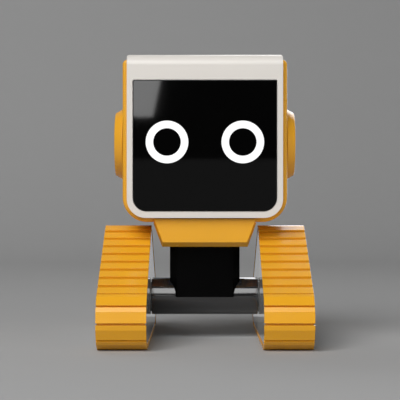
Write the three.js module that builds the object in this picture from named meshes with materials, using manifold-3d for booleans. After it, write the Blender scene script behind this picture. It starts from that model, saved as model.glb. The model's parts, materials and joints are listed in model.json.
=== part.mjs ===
// An educational coding robot: a tilting head with a display face, carried on two triangular rubber tracks.
// Millimetres, +Z up, the face looks along -Y. The origin is on the ground, midway between the tracks.
// "Left" and "right" are those of someone facing the robot: left is -X.

import * as THREE from 'three';
import { mergeVertices } from 'three/addons/utils/BufferGeometryUtils.js';
import Module from 'manifold-3d';

const wasm = await Module();
wasm.setup();

// ---------------------------------------------------------------- driving dimensions

const gap = 0.3; // clearance between pieces that touch

// Track, seen from the side: three equal wheels at the corners of a low triangle.
const wheelReach = 71.5; // front and rear wheel centres, each way from the middle
const wheelLowZ = 16.5;
const wheelTopZ = 52.1;

// Belt: a rubber band with lugs that rise on a ramp and drop sharply.
// Radii are measured from the wheel centres.
const beltOuterRadius = 16.5;
const beltFloorRadius = 14.5; // bottom of the grooves
const beltInnerRadius = 12.6;
const beltPitchRadius = 15; // where the belt keeps its length as it bends
const beltWidth = 28.1;
const beltMidX = 46.55; // middle of the track, out from the robot's middle
const lugCount = 42;
const grooveLength = 1.1;
const rampLength = 2.5;
const rampDrop = 0.8; // how far below the lug's top its ramp starts
const grooveAngle = 183.3; // degrees, where one groove sits on the front wheel
const lugOverhang = 0.6; // how far a lug reaches past the band it stands on
const lugUnderRadius = beltFloorRadius + 0.15; // underside of that overhang
const rebateWidth = 1.6; // cut into both edges of the band, where the side plates fit
const rebateRadius = 13.5;

// Side plates of a track
const plateEdgeRadius = 13.2;
const plateSkin = 1.1; // thickness in the belt's rebate
const platePlugRadius = 12.2;
const innerPlateDepth = 3;
const outerPlateDepth = 3.4;
const shaftHoleRadius = 3.6; // where the motor's shaft passes through

// Running gear
const axleRadius = 2.4;
const axleSeatRadius = 2.8;
const tyreRadius = 12.2;
const gearModule = 1.5;
const sprocketTeeth = 14;
const driveTeeth = 21;
const pressureAngle = (25 * Math.PI) / 180;
const gearBacklash = 0.7;
const gearBoreRadius = 1.8;
const drumRibs = 10;
const drumRibHeight = 0.9;
const hubRecess = 1.2;
const hubCapRadius = 7.2;
const hubPinRadius = 1.2;

// Cross tube that holds the motors
const tubeZ = 25.4;
const tubeRadius = 11.2;
const tubeBore = 9.7;
const tubeHalfLength = 32.4;
const collarRadius = 9.4;
const collarBore = 8.4;
const collarDepth = 4;

// Neck
const neckHalfWidth = 21.2;
const neckHalfDepth = 12.6;
const neckCornerX = 4.4;
const neckCornerY = 6.4;
const neckWall = 2;
const tiltZ = 66; // height of the head's tilt axis
const neckHoleRadius = 4.6;
const wireHoleRadius = 4;

// Chin cover
const chinFrontY = -28.5;
const chinShoulderY = -24.5; // where the front reaches its full outline
const chinLipBackY = -26.3; // back of the strip in front of the head shell
const chinFloorZ = 56.2;
const chinFloorHalfWidth = 25.5;
const chinLipHalfWidth = 32.25;
const chinLipZ = 72.9;
const chinTopZ = 70.7;
const chinWall = 1.6;
const chinInsets = [1.5, 2.8]; // how far the flat front is drawn in, at the sides and below

// Head
const shell = { halfWidth: 49, bottom: 71, top: 167.7, bottomRadius: 14.8, topRadius: 3 };
const shellWall = 2;
const shellHalfDepth = 26;
const face = { halfWidth: 46.15, bottom: 73.5, top: 170.4, bottomRadius: 11.2, topRadius: 1.6 };
const faceY = -32;
const browRadius = 6.6; // rounding of the top front and top rear edges
const glass = { halfWidth: 42.5, bottom: 77.5, top: 154.9, bottomRadius: 8, topRadius: 0.8 };
const glassThickness = 1.8;
const eyeX = 22.4;
const eyeZ = 118.4;
const eyeOuterRadius = 12.6;
const eyeInnerRadius = 8.15;
const earZ = 118.2;
const earHoleRadius = 15;
const screwHoleRadius = 1.7;
const screwHeadRadius = 3;
const screwX = 41.5;
const screwLowZ = 84;
const screwHighZ = 158;
const buttonX = 28;
const buttonZ = 146;
const buttonRadius = 4.7;
const usbZ = 136;
const usbHalf = { x: 4.5, z: 1.6 };
const ventCount = 5;
const ventLowZ = 92;
const ventPitch = 6;
const ventHalfWidth = 20;

// ---------------------------------------------------------------- materials

const paint = (color, roughness, metalness = 0) =>
  new THREE.MeshStandardMaterial({ color, roughness, metalness });

const orangePlastic = paint('#dea235', 0.3);
const orangeRubber = paint('#e5a42b', 0.45);
const whitePlastic = paint('#dbd7d2', 0.35);
const greyPlastic = paint('#a6a8a7', 0.25);
const blackPlastic = paint('#161616', 0.2);
const blackGlass = paint('#050506', 0.05);
const eyeLight = paint('#fefefe', 0.4);
const steel = paint('#b9bcc0', 0.3, 1);
const darkPlastic = paint('#2b2d30', 0.5);
const naturalNylon = paint('#e8e4d8', 0.5);
const boardGreen = paint('#1f6b3a', 0.5);
const cellWrap = paint('#2c5fa0', 0.4);

// ---------------------------------------------------------------- geometry helpers

/** Turns a closed geometry into a solid, with its faces pointing out. */
function solid(geometry) {
  const bare = new THREE.BufferGeometry();
  bare.setAttribute('position', geometry.getAttribute('position').clone());
  if (geometry.getIndex()) bare.setIndex(geometry.getIndex().clone());
  const merged = mergeVertices(bare, 1e-4);
  const points = merged.getAttribute('position').array;
  const index = merged.getIndex().array;
  const triangles = [];
  let sixVolumes = 0;
  const corner = [new THREE.Vector3(), new THREE.Vector3(), new THREE.Vector3()];
  for (let i = 0; i < index.length; i += 3) {
    const [a, b, c] = [index[i], index[i + 1], index[i + 2]];
    if (a === b || b === c || c === a) continue;
    triangles.push([a, b, c]);
    [a, b, c].forEach((vertex, k) => corner[k].fromArray(points, vertex * 3));
    sixVolumes += corner[0].dot(corner[1].clone().cross(corner[2]));
  }
  const facingOut = sixVolumes < 0 ? triangles.map(([a, b, c]) => [a, c, b]) : triangles;
  const vertProperties = new Float32Array(points);
  const triVerts = new Uint32Array(facingOut.flat());
  return new wasm.Manifold(new wasm.Mesh({ numProp: 3, vertProperties, triVerts }));
}

/** Turns a solid back into a three.js geometry. */
function geometryOf(body) {
  const { vertProperties, triVerts } = body.getMesh();
  const geometry = new THREE.BufferGeometry();
  geometry.setAttribute('position', new THREE.BufferAttribute(vertProperties, 3));
  geometry.setIndex(Array.from(triVerts));
  geometry.computeVertexNormals();
  return geometry;
}

const join = (...bodies) => bodies.reduce((sum, body) => sum.add(body));
const cut = (body, ...tools) => tools.reduce((rest, tool) => rest.subtract(tool), body);

/** An outline in (X, Y), raised from z0 to z1. */
function extrudeZ(points, z0, z1, holes = []) {
  const shape = new THREE.Shape(points);
  shape.holes = holes.map((hole) => new THREE.Path(hole));
  const geometry = new THREE.ExtrudeGeometry(shape, { depth: z1 - z0, bevelEnabled: false });
  return geometry.translate(0, 0, z0);
}

/** An outline in (Y, Z), drawn out along X from x0 to x1. */
function extrudeX(points, x0, x1, holes = []) {
  const axes = new THREE.Matrix4().makeBasis(
    new THREE.Vector3(0, 1, 0),
    new THREE.Vector3(0, 0, 1),
    new THREE.Vector3(1, 0, 0),
  );
  return extrudeZ(points, x0, x1, holes).applyMatrix4(axes);
}

/** An outline in (X, Z), drawn out along Y from y0 to y1. */
function extrudeY(points, y0, y1, holes = []) {
  return extrudeZ(points, -y1, -y0, holes).rotateX(Math.PI / 2);
}

/** A block between two opposite corners. */
function block([x0, y0, z0], [x1, y1, z1]) {
  const geometry = new THREE.BoxGeometry(x1 - x0, y1 - y0, z1 - z0);
  return solid(geometry.translate((x0 + x1) / 2, (y0 + y1) / 2, (z0 + z1) / 2));
}

const toVectors = (pairs) => pairs.map(([u, v]) => new THREE.Vector2(u, v));

/** A turned piece about X, from a closed half profile of [radius, x] pairs. */
function turnedX(profile, segments) {
  return new THREE.LatheGeometry(toVectors([...profile, profile[0]]), segments).rotateZ(-Math.PI / 2);
}

/** A turned piece about Y, from a closed half profile of [radius, y] pairs. */
function turnedY(profile, segments) {
  return new THREE.LatheGeometry(toVectors([...profile, profile[0]]), segments);
}

const rodX = (radius, x0, x1, [y, z] = [0, 0], segments = 24) =>
  solid(turnedX([[0, x0], [radius, x0], [radius, x1], [0, x1]], segments).translate(0, y, z));

const rodY = (radius, y0, y1, [x, z] = [0, 0], segments = 24) =>
  solid(turnedY([[0, y0], [radius, y0], [radius, y1], [0, y1]], segments).translate(x, 0, z));

/** Points on an arc about (u, v), both ends included. Angles are in radians. */
function arc(u, v, radius, from, to, steps) {
  return Array.from({ length: steps + 1 }, (_, i) => {
    const angle = from + ((to - from) * i) / steps;
    return new THREE.Vector2(u + radius * Math.cos(angle), v + radius * Math.sin(angle));
  });
}

/** The corners of a regular polygon about the origin. */
const ring = (radius, sides) => arc(0, 0, radius, 0, (2 * Math.PI * (sides - 1)) / sides, sides - 1);

/** An upright rounded rectangle in (X, Z), drawn in by an inset. */
function upright({ halfWidth, bottom, top, bottomRadius, topRadius }, inset = 0, steps = 4) {
  const w = halfWidth - inset;
  const low = bottom + inset;
  const high = top - inset;
  const r = Math.max(bottomRadius - inset, 0.4);
  const t = Math.max(topRadius - inset, 0.4);
  const turn = Math.PI / 2;
  return [
    ...arc(w - r, low + r, r, -turn, 0, steps),
    ...arc(w - t, high - t, t, 0, turn, steps),
    ...arc(t - w, high - t, t, turn, 2 * turn, steps),
    ...arc(r - w, low + r, r, 2 * turn, 3 * turn, steps),
  ];
}

/** A solid through convex outlines in (X, Z) that stand at rising Y and have the same number of points. */
function loftY(stations) {
  const count = stations[0].outline.length;
  const positions = stations.flatMap(({ y, outline }) => outline.flatMap((p) => [p.x, y, p.y]));
  const index = [];
  for (let s = 0; s + 1 < stations.length; s += 1) {
    for (let i = 0; i < count; i += 1) {
      const j = (i + 1) % count;
      const [a, b, c, d] = [s * count + i, s * count + j, (s + 1) * count + j, (s + 1) * count + i];
      index.push(a, b, c, a, c, d);
    }
  }
  const last = (stations.length - 1) * count;
  for (let i = 1; i + 1 < count; i += 1) {
    index.push(0, i + 1, i, last, last + i, last + i + 1);
  }
  const geometry = new THREE.BufferGeometry();
  geometry.setAttribute('position', new THREE.Float32BufferAttribute(positions, 3));
  geometry.setIndex(index);
  return solid(geometry);
}

/** The same geometry seen in a mirror across the plane X = 0. */
function mirrored(geometry) {
  const copy = geometry.clone().scale(-1, 1, 1);
  const index = Array.from(copy.getIndex().array);
  for (let i = 0; i < index.length; i += 3) [index[i], index[i + 1]] = [index[i + 1], index[i]];
  copy.setIndex(index);
  copy.computeVertexNormals();
  return copy;
}

function addPiece(parent, name, body, material, position = [0, 0, 0]) {
  const mesh = new THREE.Mesh(body.isBufferGeometry ? body : geometryOf(body), material);
  mesh.name = name;
  mesh.position.set(...position);
  parent.add(mesh);
  return mesh;
}

// ---------------------------------------------------------------- the track's path

const slopeLength = Math.hypot(wheelReach, wheelTopZ - wheelLowZ);
const slopeNormal = Math.atan2(wheelReach, wheelTopZ - wheelLowZ); // angle of a slope's outward normal
const wheels = {
  front: [-wheelReach, wheelLowZ],
  rear: [wheelReach, wheelLowZ],
  top: [0, wheelTopZ],
};

/** The loop that a band takes round the three wheels, at one distance from their centres. */
function loop(radius, steps = 12) {
  const topSteps = Math.ceil(steps / 3);
  return [
    ...arc(...wheels.rear, radius, -Math.PI / 2, slopeNormal, steps),
    ...arc(...wheels.top, radius, slopeNormal, Math.PI - slopeNormal, topSteps),
    ...arc(...wheels.front, radius, Math.PI - slopeNormal, 1.5 * Math.PI, steps),
  ];
}

/** Stretches of the belt in order, starting under the front wheel. */
const stretches = [
  { from: wheels.front, to: wheels.rear, normal: -Math.PI / 2 },
  { centre: wheels.rear, start: -Math.PI / 2, end: slopeNormal },
  { from: wheels.rear, to: wheels.top, normal: slopeNormal },
  { centre: wheels.top, start: slopeNormal, end: Math.PI - slopeNormal },
  { from: wheels.top, to: wheels.front, normal: Math.PI - slopeNormal },
  { centre: wheels.front, start: Math.PI - slopeNormal, end: 1.5 * Math.PI },
].map((stretch) => ({
  ...stretch,
  length: stretch.centre
    ? beltPitchRadius * (stretch.end - stretch.start)
    : Math.hypot(stretch.to[0] - stretch.from[0], stretch.to[1] - stretch.from[1]),
}));
const beltLength = stretches.reduce((sum, { length }) => sum + length, 0);
const lugPitch = beltLength / lugCount;

/** The stretch at a distance along the belt, and how far into it that is. */
function placeOnBelt(distance) {
  let along = ((distance % beltLength) + beltLength) % beltLength;
  for (const stretch of stretches) {
    if (along <= stretch.length) return { stretch, along };
    along -= stretch.length;
  }
  return { stretch: stretches[0], along: 0 };
}

/** The point in (Y, Z) at a distance along the belt, and at a radius from the wheels' line of centres. */
function beltPoint(distance, radius) {
  const { stretch, along } = placeOnBelt(distance);
  const { centre, start, from, to, length, normal } = stretch;
  const angle = centre ? start + along / beltPitchRadius : normal;
  const share = centre ? 0 : along / length;
  const base = centre ?? [from[0] + (to[0] - from[0]) * share, from[1] + (to[1] - from[1]) * share];
  return new THREE.Vector2(base[0] + radius * Math.cos(angle), base[1] + radius * Math.sin(angle));
}

const frontArcStart = beltLength - stretches[5].length;
const firstGroove = frontArcStart + beltPitchRadius * ((grooveAngle * Math.PI) / 180 - stretches[5].start);

/** The belt's outer outline. Each lug is straight, with a ramp, a flat top and a steep side. */
function lugOutline() {
  const points = [];
  const flatLength = lugPitch - grooveLength - rampLength;
  for (let lug = 0; lug < lugCount; lug += 1) {
    const start = firstGroove + lug * lugPitch + grooveLength / 2;
    const end = start + rampLength + flatLength;
    const flatStart = beltPoint(start + rampLength, beltOuterRadius);
    const flatEnd = beltPoint(end, beltOuterRadius);
    const along = flatEnd.clone().sub(flatStart);
    const outward = new THREE.Vector2(along.y, -along.x).normalize();
    const rampFoot = flatStart.clone()
      .addScaledVector(along, -rampLength / flatLength)
      .addScaledVector(outward, -rampDrop);
    const [startFloor, endFloor] = [start, end].map((distance) => beltPoint(distance, beltFloorRadius));
    points.push(startFloor, rampFoot, flatStart, flatEnd, endFloor);
  }
  return points;
}

// ---------------------------------------------------------------- gears

/** The outline of a spur gear with involute teeth, one tooth centred on the given angle. */
function gearOutline(teeth, toothAngle) {
  const pitchRadius = (gearModule * teeth) / 2;
  const baseRadius = pitchRadius * Math.cos(pressureAngle);
  const tipRadius = pitchRadius + gearModule;
  const rootRadius = pitchRadius - 1.3 * gearModule;
  const involute = (angle) => Math.tan(angle) - angle;
  const halfAtPitch = Math.PI / (2 * teeth) - gearBacklash / (4 * pitchRadius);
  const halfAt = (radius) => {
    const angle = Math.acos(Math.min(1, baseRadius / radius)); // zero below the base circle
    return halfAtPitch + involute(pressureAngle) - involute(angle);
  };
  const flank = [rootRadius, pitchRadius, tipRadius];
  const points = [];
  for (let tooth = 0; tooth < teeth; tooth += 1) {
    const middle = toothAngle + (2 * Math.PI * tooth) / teeth;
    const rising = flank.map((radius) => [radius, middle - halfAt(radius)]);
    const falling = flank.map((radius) => [radius, middle + halfAt(radius)]).reverse();
    for (const [radius, angle] of [...rising, ...falling]) {
      points.push(new THREE.Vector2(radius * Math.cos(angle), radius * Math.sin(angle)));
    }
  }
  return points;
}

const gearCentres = (gearModule * (sprocketTeeth + driveTeeth)) / 2;
const motorZ = wheelTopZ - gearCentres;

// ---------------------------------------------------------------- track pieces
// Each is drawn about the middle of its track, with +X pointing away from the robot.

const halfBelt = beltWidth / 2;
const plateFace = halfBelt - 0.2;

function trackBelt() {
  const lugs = solid(extrudeX(lugOutline(), -halfBelt, halfBelt, [loop(beltInnerRadius)]));
  const steps = [[lugUnderRadius, lugOverhang], [rebateRadius, rebateWidth]].flatMap(([radius, depth]) => [
    solid(extrudeX(loop(radius), -halfBelt - 1, depth - halfBelt)),
    solid(extrudeX(loop(radius), halfBelt - depth, halfBelt + 1)),
  ]);
  return cut(lugs, ...steps);
}

function innerSidePlate() {
  const back = plateFace - innerPlateDepth;
  const seatDepth = 1.8;
  const skin = solid(extrudeX(loop(plateEdgeRadius), -plateFace, plateSkin - plateFace));
  const plug = solid(extrudeX(loop(platePlugRadius), -plateFace + 0.2, -back));
  const collarStart = -plateFace - collarDepth;
  const collar = rodX(collarRadius, collarStart, -plateFace + 0.5, [0, tubeZ], 24);
  const collarHole = rodX(collarBore, collarStart - 1, -plateFace, [0, tubeZ], 24);
  const shaftHole = rodX(shaftHoleRadius, collarStart - 1, -back + 1, [0, motorZ], 12);
  const seats = Object.values(wheels).map((centre) =>
    rodX(axleSeatRadius, -back - seatDepth, -back + 1, centre, 8),
  );
  return cut(join(skin, plug, cut(collar, collarHole)), shaftHole, ...seats);
}

function outerSidePlate() {
  const back = plateFace - outerPlateDepth;
  const seatDepth = 1.6;
  const skin = solid(extrudeX(loop(plateEdgeRadius), plateFace - plateSkin, plateFace));
  const plug = solid(extrudeX(loop(platePlugRadius), back, plateFace - 0.2));
  const holes = Object.values(wheels).flatMap((centre) => [
    rodX(axleSeatRadius, back - 1, back + seatDepth, centre, 8),
    rodX(hubPinRadius + 0.7, back, plateFace, centre, 6),
    rodX(hubCapRadius + gap, plateFace - hubRecess, plateFace + 1, centre, 16),
  ]);
  // A shallow three-sided dish between the wheels.
  const [dishLowZ, dishHighZ, dishDepth] = [9.5, 35, 0.8];
  const [dishLowHalf, dishHighHalf] = [38, 7];
  const dish = [
    [-dishLowHalf, dishLowZ], [dishLowHalf, dishLowZ], [dishHighHalf, dishHighZ], [-dishHighHalf, dishHighZ],
  ];
  const dishCut = solid(extrudeX(toVectors(dish), plateFace - dishDepth, plateFace + 1));
  return cut(join(skin, plug), dishCut, ...holes);
}

function axle() {
  const start = -(plateFace - innerPlateDepth) - 1.5;
  const end = plateFace - outerPlateDepth + 1.3;
  const pinHole = { radius: hubPinRadius + gap, floor: end - 6 };
  const profile = [
    [0, start], [axleRadius, start], [axleRadius, end], [pinHole.radius, end],
    [pinHole.radius, pinHole.floor], [0, pinHole.floor],
  ];
  return solid(turnedX(profile, 8));
}

function hubCap() {
  const seat = plateFace - hubRecess + gap;
  const pinEnd = seat - 4.5;
  const profile = [
    [0, pinEnd], [hubPinRadius, pinEnd], [hubPinRadius, seat], [hubCapRadius, seat],
    [hubCapRadius, seat + 0.4], [hubCapRadius - 0.6, seat + 1], [0, seat + 1],
  ];
  return solid(turnedX(profile, 16));
}

const tyreHalfWidth = 9.5;

function idler() {
  const rimInside = tyreRadius - 1.8;
  const hub = 5;
  const web = 1.3;
  const profile = [
    [axleSeatRadius, -tyreHalfWidth - gap], [hub, -tyreHalfWidth - gap], [hub, -web], [rimInside, -web],
    [rimInside, -tyreHalfWidth], [tyreRadius, -tyreHalfWidth], [tyreRadius, tyreHalfWidth],
    [rimInside, tyreHalfWidth], [rimInside, web], [hub, web], [hub, tyreHalfWidth + gap],
    [axleSeatRadius, tyreHalfWidth + gap],
  ];
  return solid(turnedX(profile, 12));
}

const gearSide = [-9.5, -4.5]; // the sprocket's gear, along X
const drumSide = [-3, 9.5]; // its ribbed drum

/** Ribs round the drum that grip the belt. */
function drumOutline(ribs) {
  return Array.from({ length: ribs * 4 }, (_, i) => {
    const angle = (2 * Math.PI * i) / (ribs * 4);
    const radius = i % 4 < 2 ? tyreRadius : tyreRadius - drumRibHeight;
    return new THREE.Vector2(radius * Math.cos(angle), radius * Math.sin(angle));
  });
}

function driveSprocket() {
  // One gap between teeth points straight down, at the drive gear.
  const firstTooth = -Math.PI / 2 + Math.PI / sprocketTeeth;
  const gear = solid(extrudeX(gearOutline(sprocketTeeth, firstTooth), ...gearSide));
  const drum = solid(extrudeX(drumOutline(drumRibs), ...drumSide));
  const [hub, rim] = [6.5, 9.6]; // radii of the drum's hub and of the inside of its rim
  const core = rodX(hub, gearSide[0] - gap, drumSide[1] + gap, [0, 0], 12);
  const [dishFloor, dishEnd] = [drumSide[1] - 7, drumSide[1] + 1];
  const dish = solid(turnedX([[hub, dishFloor], [rim, dishFloor], [rim, dishEnd], [hub, dishEnd]], 12));
  const bore = rodX(axleSeatRadius, -20, 20, [0, 0], 8);
  return cut(join(gear, drum, core), dish, bore);
}

function driveGear() {
  const [start, end] = [gearSide[0] + gap, gearSide[1] - gap];
  const [hubRadius, hubReach] = [4.5, 2.5];
  const gear = solid(extrudeX(gearOutline(driveTeeth, Math.PI / 2), start, end));
  const hub = rodX(hubRadius, start, end + hubReach, [0, 0], 14);
  return cut(join(gear, hub), rodX(gearBoreRadius, -20, 20, [0, 0], 10));
}

/** A small gear motor that lies along X, its shaft pointing outwards. */
function driveMotor() {
  const [tail, front] = [1.5 - beltMidX, 31.5 - beltMidX];
  const gearboxLength = 9;
  const [canRadius, flat] = [5.8, 4.8]; // the round can has two flat sides
  const gearbox = block([front - gearboxLength, -canRadius, -flat], [front, canRadius, flat]);
  const can = cut(
    rodX(canRadius, tail, front - gearboxLength + 0.5, [0, 0], 20),
    block([tail - 1, -canRadius - 1, flat], [front, canRadius + 1, canRadius + 1]),
    block([tail - 1, -canRadius - 1, -canRadius - 1], [front, canRadius + 1, -flat]),
  );
  const shaft = rodX(gearBoreRadius - gap, front - 1, gearSide[1] + 0.6, [0, 0], 12);
  return join(gearbox, can, shaft);
}

function addTracks(parent) {
  const rolling = [
    ['track_belt', trackBelt(), orangeRubber, [0, 0]],
    ['inner_side_plate', innerSidePlate(), greyPlastic, [0, 0]],
    ['outer_side_plate', outerSidePlate(), greyPlastic, [0, 0]],
    ['drive_sprocket', driveSprocket(), naturalNylon, wheels.top],
    ['front_idler', idler(), darkPlastic, wheels.front],
    ['rear_idler', idler(), darkPlastic, wheels.rear],
    ['drive_gear', driveGear(), naturalNylon, [0, motorZ]],
    ['drive_motor', driveMotor(), steel, [0, motorZ]],
  ];
  for (const [place, centre] of Object.entries(wheels)) {
    rolling.push([`${place}_axle`, axle(), steel, centre]);
    rolling.push([`${place}_hub_cap`, hubCap(), orangePlastic, centre]);
  }
  for (const [side, sign] of [['left', -1], ['right', 1]]) {
    const track = new THREE.Group();
    track.position.x = sign * beltMidX;
    parent.add(track);
    for (const [name, body, material, [y, z]] of rolling) {
      const geometry = geometryOf(body);
      addPiece(track, `${side}_${name}`, sign < 0 ? mirrored(geometry) : geometry, material, [0, y, z]);
    }
  }
}

// ---------------------------------------------------------------- chassis

function axleHousing() {
  const tube = rodX(tubeRadius, -tubeHalfLength, tubeHalfLength, [0, tubeZ], 36);
  const bore = rodX(tubeBore, -tubeHalfLength - 1, tubeHalfLength + 1, [0, tubeZ], 24);
  const wireHole = extrudeZ(ring(wireHoleRadius, 10), tubeZ, tubeZ + 20);
  return cut(tube, bore, solid(wireHole));
}

/** The neck's form, drawn in by an inset: a block with cut corners, its top rounded about the tilt axis. */
function neckForm(inset, floorZ) {
  const w = neckHalfWidth - inset;
  const d = neckHalfDepth - inset;
  const plan = [
    [-w + neckCornerX, -d], [w - neckCornerX, -d], [w, -d + neckCornerY], [w, d - neckCornerY],
    [w - neckCornerX, d], [-w + neckCornerX, d], [-w, d - neckCornerY], [-w, -d + neckCornerY],
  ];
  const side = [
    new THREE.Vector2(-d, floorZ),
    new THREE.Vector2(d, floorZ),
    ...arc(0, tiltZ, d, 0, Math.PI, 16),
  ];
  const upRight = solid(extrudeZ(toVectors(plan), floorZ, tiltZ + d + 1));
  return upRight.intersect(solid(extrudeX(side, -w - 1, w + 1)));
}

function neckFrontCover() {
  const room = neckForm(neckWall, tubeZ + tubeRadius + neckWall);
  const saddle = rodX(tubeRadius + gap, -neckHalfWidth - 1, neckHalfWidth + 1, [0, tubeZ], 40);
  const pivots = rodX(neckHoleRadius, -neckHalfWidth - 1, neckHalfWidth + 1, [0, tiltZ], 24);
  const wireHole = solid(extrudeZ(ring(wireHoleRadius, 10), tubeZ, tiltZ - 20));
  const otherHalf = block([-40, -gap / 2, 0], [40, 40, 100]);
  return cut(neckForm(0, tubeZ), room, saddle, pivots, wireHole, otherHalf);
}

const servoHalfDepth = 6.1;
const servoBackX = -8;
const servoFrontX = 14.5;
const servoTopZ = tiltZ + 5.9;
const servoHeight = 22.8;
const hornX = [19.4, 21.6, 23];

/** A micro servo that stands upright inside the neck, its shaft on the tilt axis. */
function tiltServo() {
  const floor = servoTopZ - servoHeight;
  const body = block([servoBackX, -servoHalfDepth, floor], [servoFrontX, servoHalfDepth, servoTopZ]);
  const tab = block([8.5, -servoHalfDepth, floor - 4.5], [11, servoHalfDepth, floor + 0.8]);
  const bossEnd = 18.2;
  const boss = rodX(5, servoFrontX - 1, bossEnd, [0, tiltZ]);
  const shaft = rodX(2.4, bossEnd - 0.2, 21.8, [0, tiltZ], 16);
  return join(body, tab, boss, shaft);
}

function servoHorn() {
  const profile = [
    [2.7, hornX[0]], [4.1, hornX[0]], [4.1, hornX[1]], [6.5, hornX[1]], [6.5, hornX[2]],
    [0, hornX[2]], [0, hornX[2] - 0.7], [2.7, hornX[2] - 0.7],
  ];
  return solid(turnedX(profile, 16));
}

const armX = [23.4, 25.4];

function pivotBush() {
  const [outerX, shoulderX, innerX] = [-22.9, -21.5, -19.4];
  const [bore, flange, sleeve] = [2.3, 6, neckHoleRadius - gap];
  const profile = [
    [bore, outerX], [flange, outerX], [flange, shoulderX], [sleeve, shoulderX], [sleeve, innerX],
    [bore, innerX],
  ];
  return solid(turnedX(profile, 16));
}

function pivotScrew() {
  const seat = -armX[1] - gap;
  const top = seat - 0.7;
  const tip = -19.8;
  const [headRadius, shankRadius] = [2.9, 2];
  const profile = [
    [0, top], [headRadius, top], [headRadius, seat], [shankRadius, seat], [shankRadius, tip], [0, tip],
  ];
  const slot = block([top - 1, -2, -0.4], [top + 0.3, 2, 0.4]);
  return cut(solid(turnedX(profile, 14)), slot);
}

function addChassis(parent) {
  addPiece(parent, 'axle_housing', axleHousing(), blackPlastic);
  addPiece(parent, 'neck_front_cover', neckFrontCover(), blackPlastic);
  const rear = addPiece(parent, 'neck_rear_cover', neckFrontCover(), blackPlastic);
  rear.rotation.z = Math.PI;
  addPiece(parent, 'tilt_servo', tiltServo(), darkPlastic);
  addPiece(parent, 'tilt_bush', pivotBush(), naturalNylon, [0, 0, tiltZ]);
}

// ---------------------------------------------------------------- head

function headShell() {
  const edge = 2.4;
  const stations = [
    { y: -shellHalfDepth, outline: upright(shell, edge) },
    { y: -shellHalfDepth + 0.7, outline: upright(shell, 0.7) },
    { y: -shellHalfDepth + edge, outline: upright(shell) },
  ];
  const rearStations = stations.map(({ y, outline }) => ({ y: -y, outline })).reverse();
  const inside = solid(extrudeY(upright(shell, shellWall), -shellHalfDepth + shellWall, shellHalfDepth + 1));
  const window = { halfWidth: 43.6, bottom: 77, top: 162, bottomRadius: 6, topRadius: 3 };
  const windowCut = solid(extrudeY(upright(window), -shellHalfDepth - 1, 0));
  const [openX, openY] = [27.5, 17.5];
  const neckOpening = block([-openX, -openY, shell.bottom - 1], [openX, openY, shell.bottom + 5]);
  const earHoles = rodX(earHoleRadius, -60, 60, [0, earZ], 18);
  const hollow = cut(loftY([...stations, ...rearStations]), inside, windowCut, neckOpening, earHoles);
  const bossY = 12; // front ends of the screw bosses
  const bosses = [-1, 1].flatMap((side) =>
    [screwLowZ, screwHighZ].map((z) => {
      const reach = side * (shell.halfWidth - 1);
      const post = rodY(4, bossY, shellHalfDepth - gap, [side * screwX, z], 8);
      const ribEnds = [side * screwX, reach].sort((a, b) => a - b);
      const rib = block([ribEnds[0], bossY + 1, z - 1.2], [ribEnds[1], shellHalfDepth - gap - 1, z + 1.2]);
      const bore = rodY(screwHoleRadius, bossY + 2, shellHalfDepth + 1, [side * screwX, z], 6);
      return cut(join(post, rib), bore);
    }),
  );
  return join(hollow, ...bosses);
}

/** The white front frame, which rolls over the brow and covers the top of the head. */
function frontFrame() {
  const body = solid(extrudeY(upright(face), faceY, shellHalfDepth));
  const shoulderZ = shell.top + gap;
  const side = [
    new THREE.Vector2(faceY, face.bottom - 1),
    ...arc(faceY + browRadius, face.top - browRadius, browRadius, Math.PI, Math.PI / 2, 6),
    new THREE.Vector2(shellHalfDepth + 1, face.top),
    new THREE.Vector2(shellHalfDepth + 1, shoulderZ),
    new THREE.Vector2(-shellHalfDepth - gap, shoulderZ),
    new THREE.Vector2(-shellHalfDepth - gap, face.bottom - 1),
  ];
  const frame = body.intersect(solid(extrudeX(side, -60, 60)));
  const lip = { front: faceY + gap + glassThickness + gap, back: faceY + 3.8 };
  const glassPocket = solid(extrudeY(upright(glass, -gap), faceY - 1, lip.front));
  const ledge = 3.2; // how far the frame reaches in behind the glass's edge
  const viewCut = solid(extrudeY(upright(glass, ledge), faceY - 1, 0));
  const rearPocket = solid(extrudeY(upright(glass, -gap), lip.back, 0));
  return cut(frame, glassPocket, viewCut, rearPocket);
}

const glassY = faceY + gap; // the glass lies just below the frame's face

function displayGlass() {
  const stations = [
    { y: glassY, outline: upright(glass, 0.3) },
    { y: glassY + 0.3, outline: upright(glass) },
    { y: glassY + glassThickness, outline: upright(glass) },
  ];
  const grooves = [-eyeX, eyeX].map((x) =>
    solid(
      turnedY(
        [
          [eyeInnerRadius - gap, glassY - 1], [eyeOuterRadius + gap, glassY - 1],
          [eyeOuterRadius + gap, glassY + 1.2], [eyeInnerRadius - gap, glassY + 1.2],
        ],
        24,
      ).translate(x, 0, eyeZ),
    ),
  );
  return cut(loftY(stations), ...grooves);
}

function eyeRing() {
  return solid(
    turnedY(
      [
        [eyeInnerRadius, glassY], [eyeOuterRadius, glassY],
        [eyeOuterRadius, glassY + 0.9], [eyeInnerRadius, glassY + 0.9],
      ],
      24,
    ),
  );
}

function displayModule() {
  const panel = { ...glass, bottomRadius: 8, topRadius: 1.5 };
  return solid(extrudeY(upright(panel, 0.6), faceY + 4.1, faceY + 7.6));
}

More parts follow.
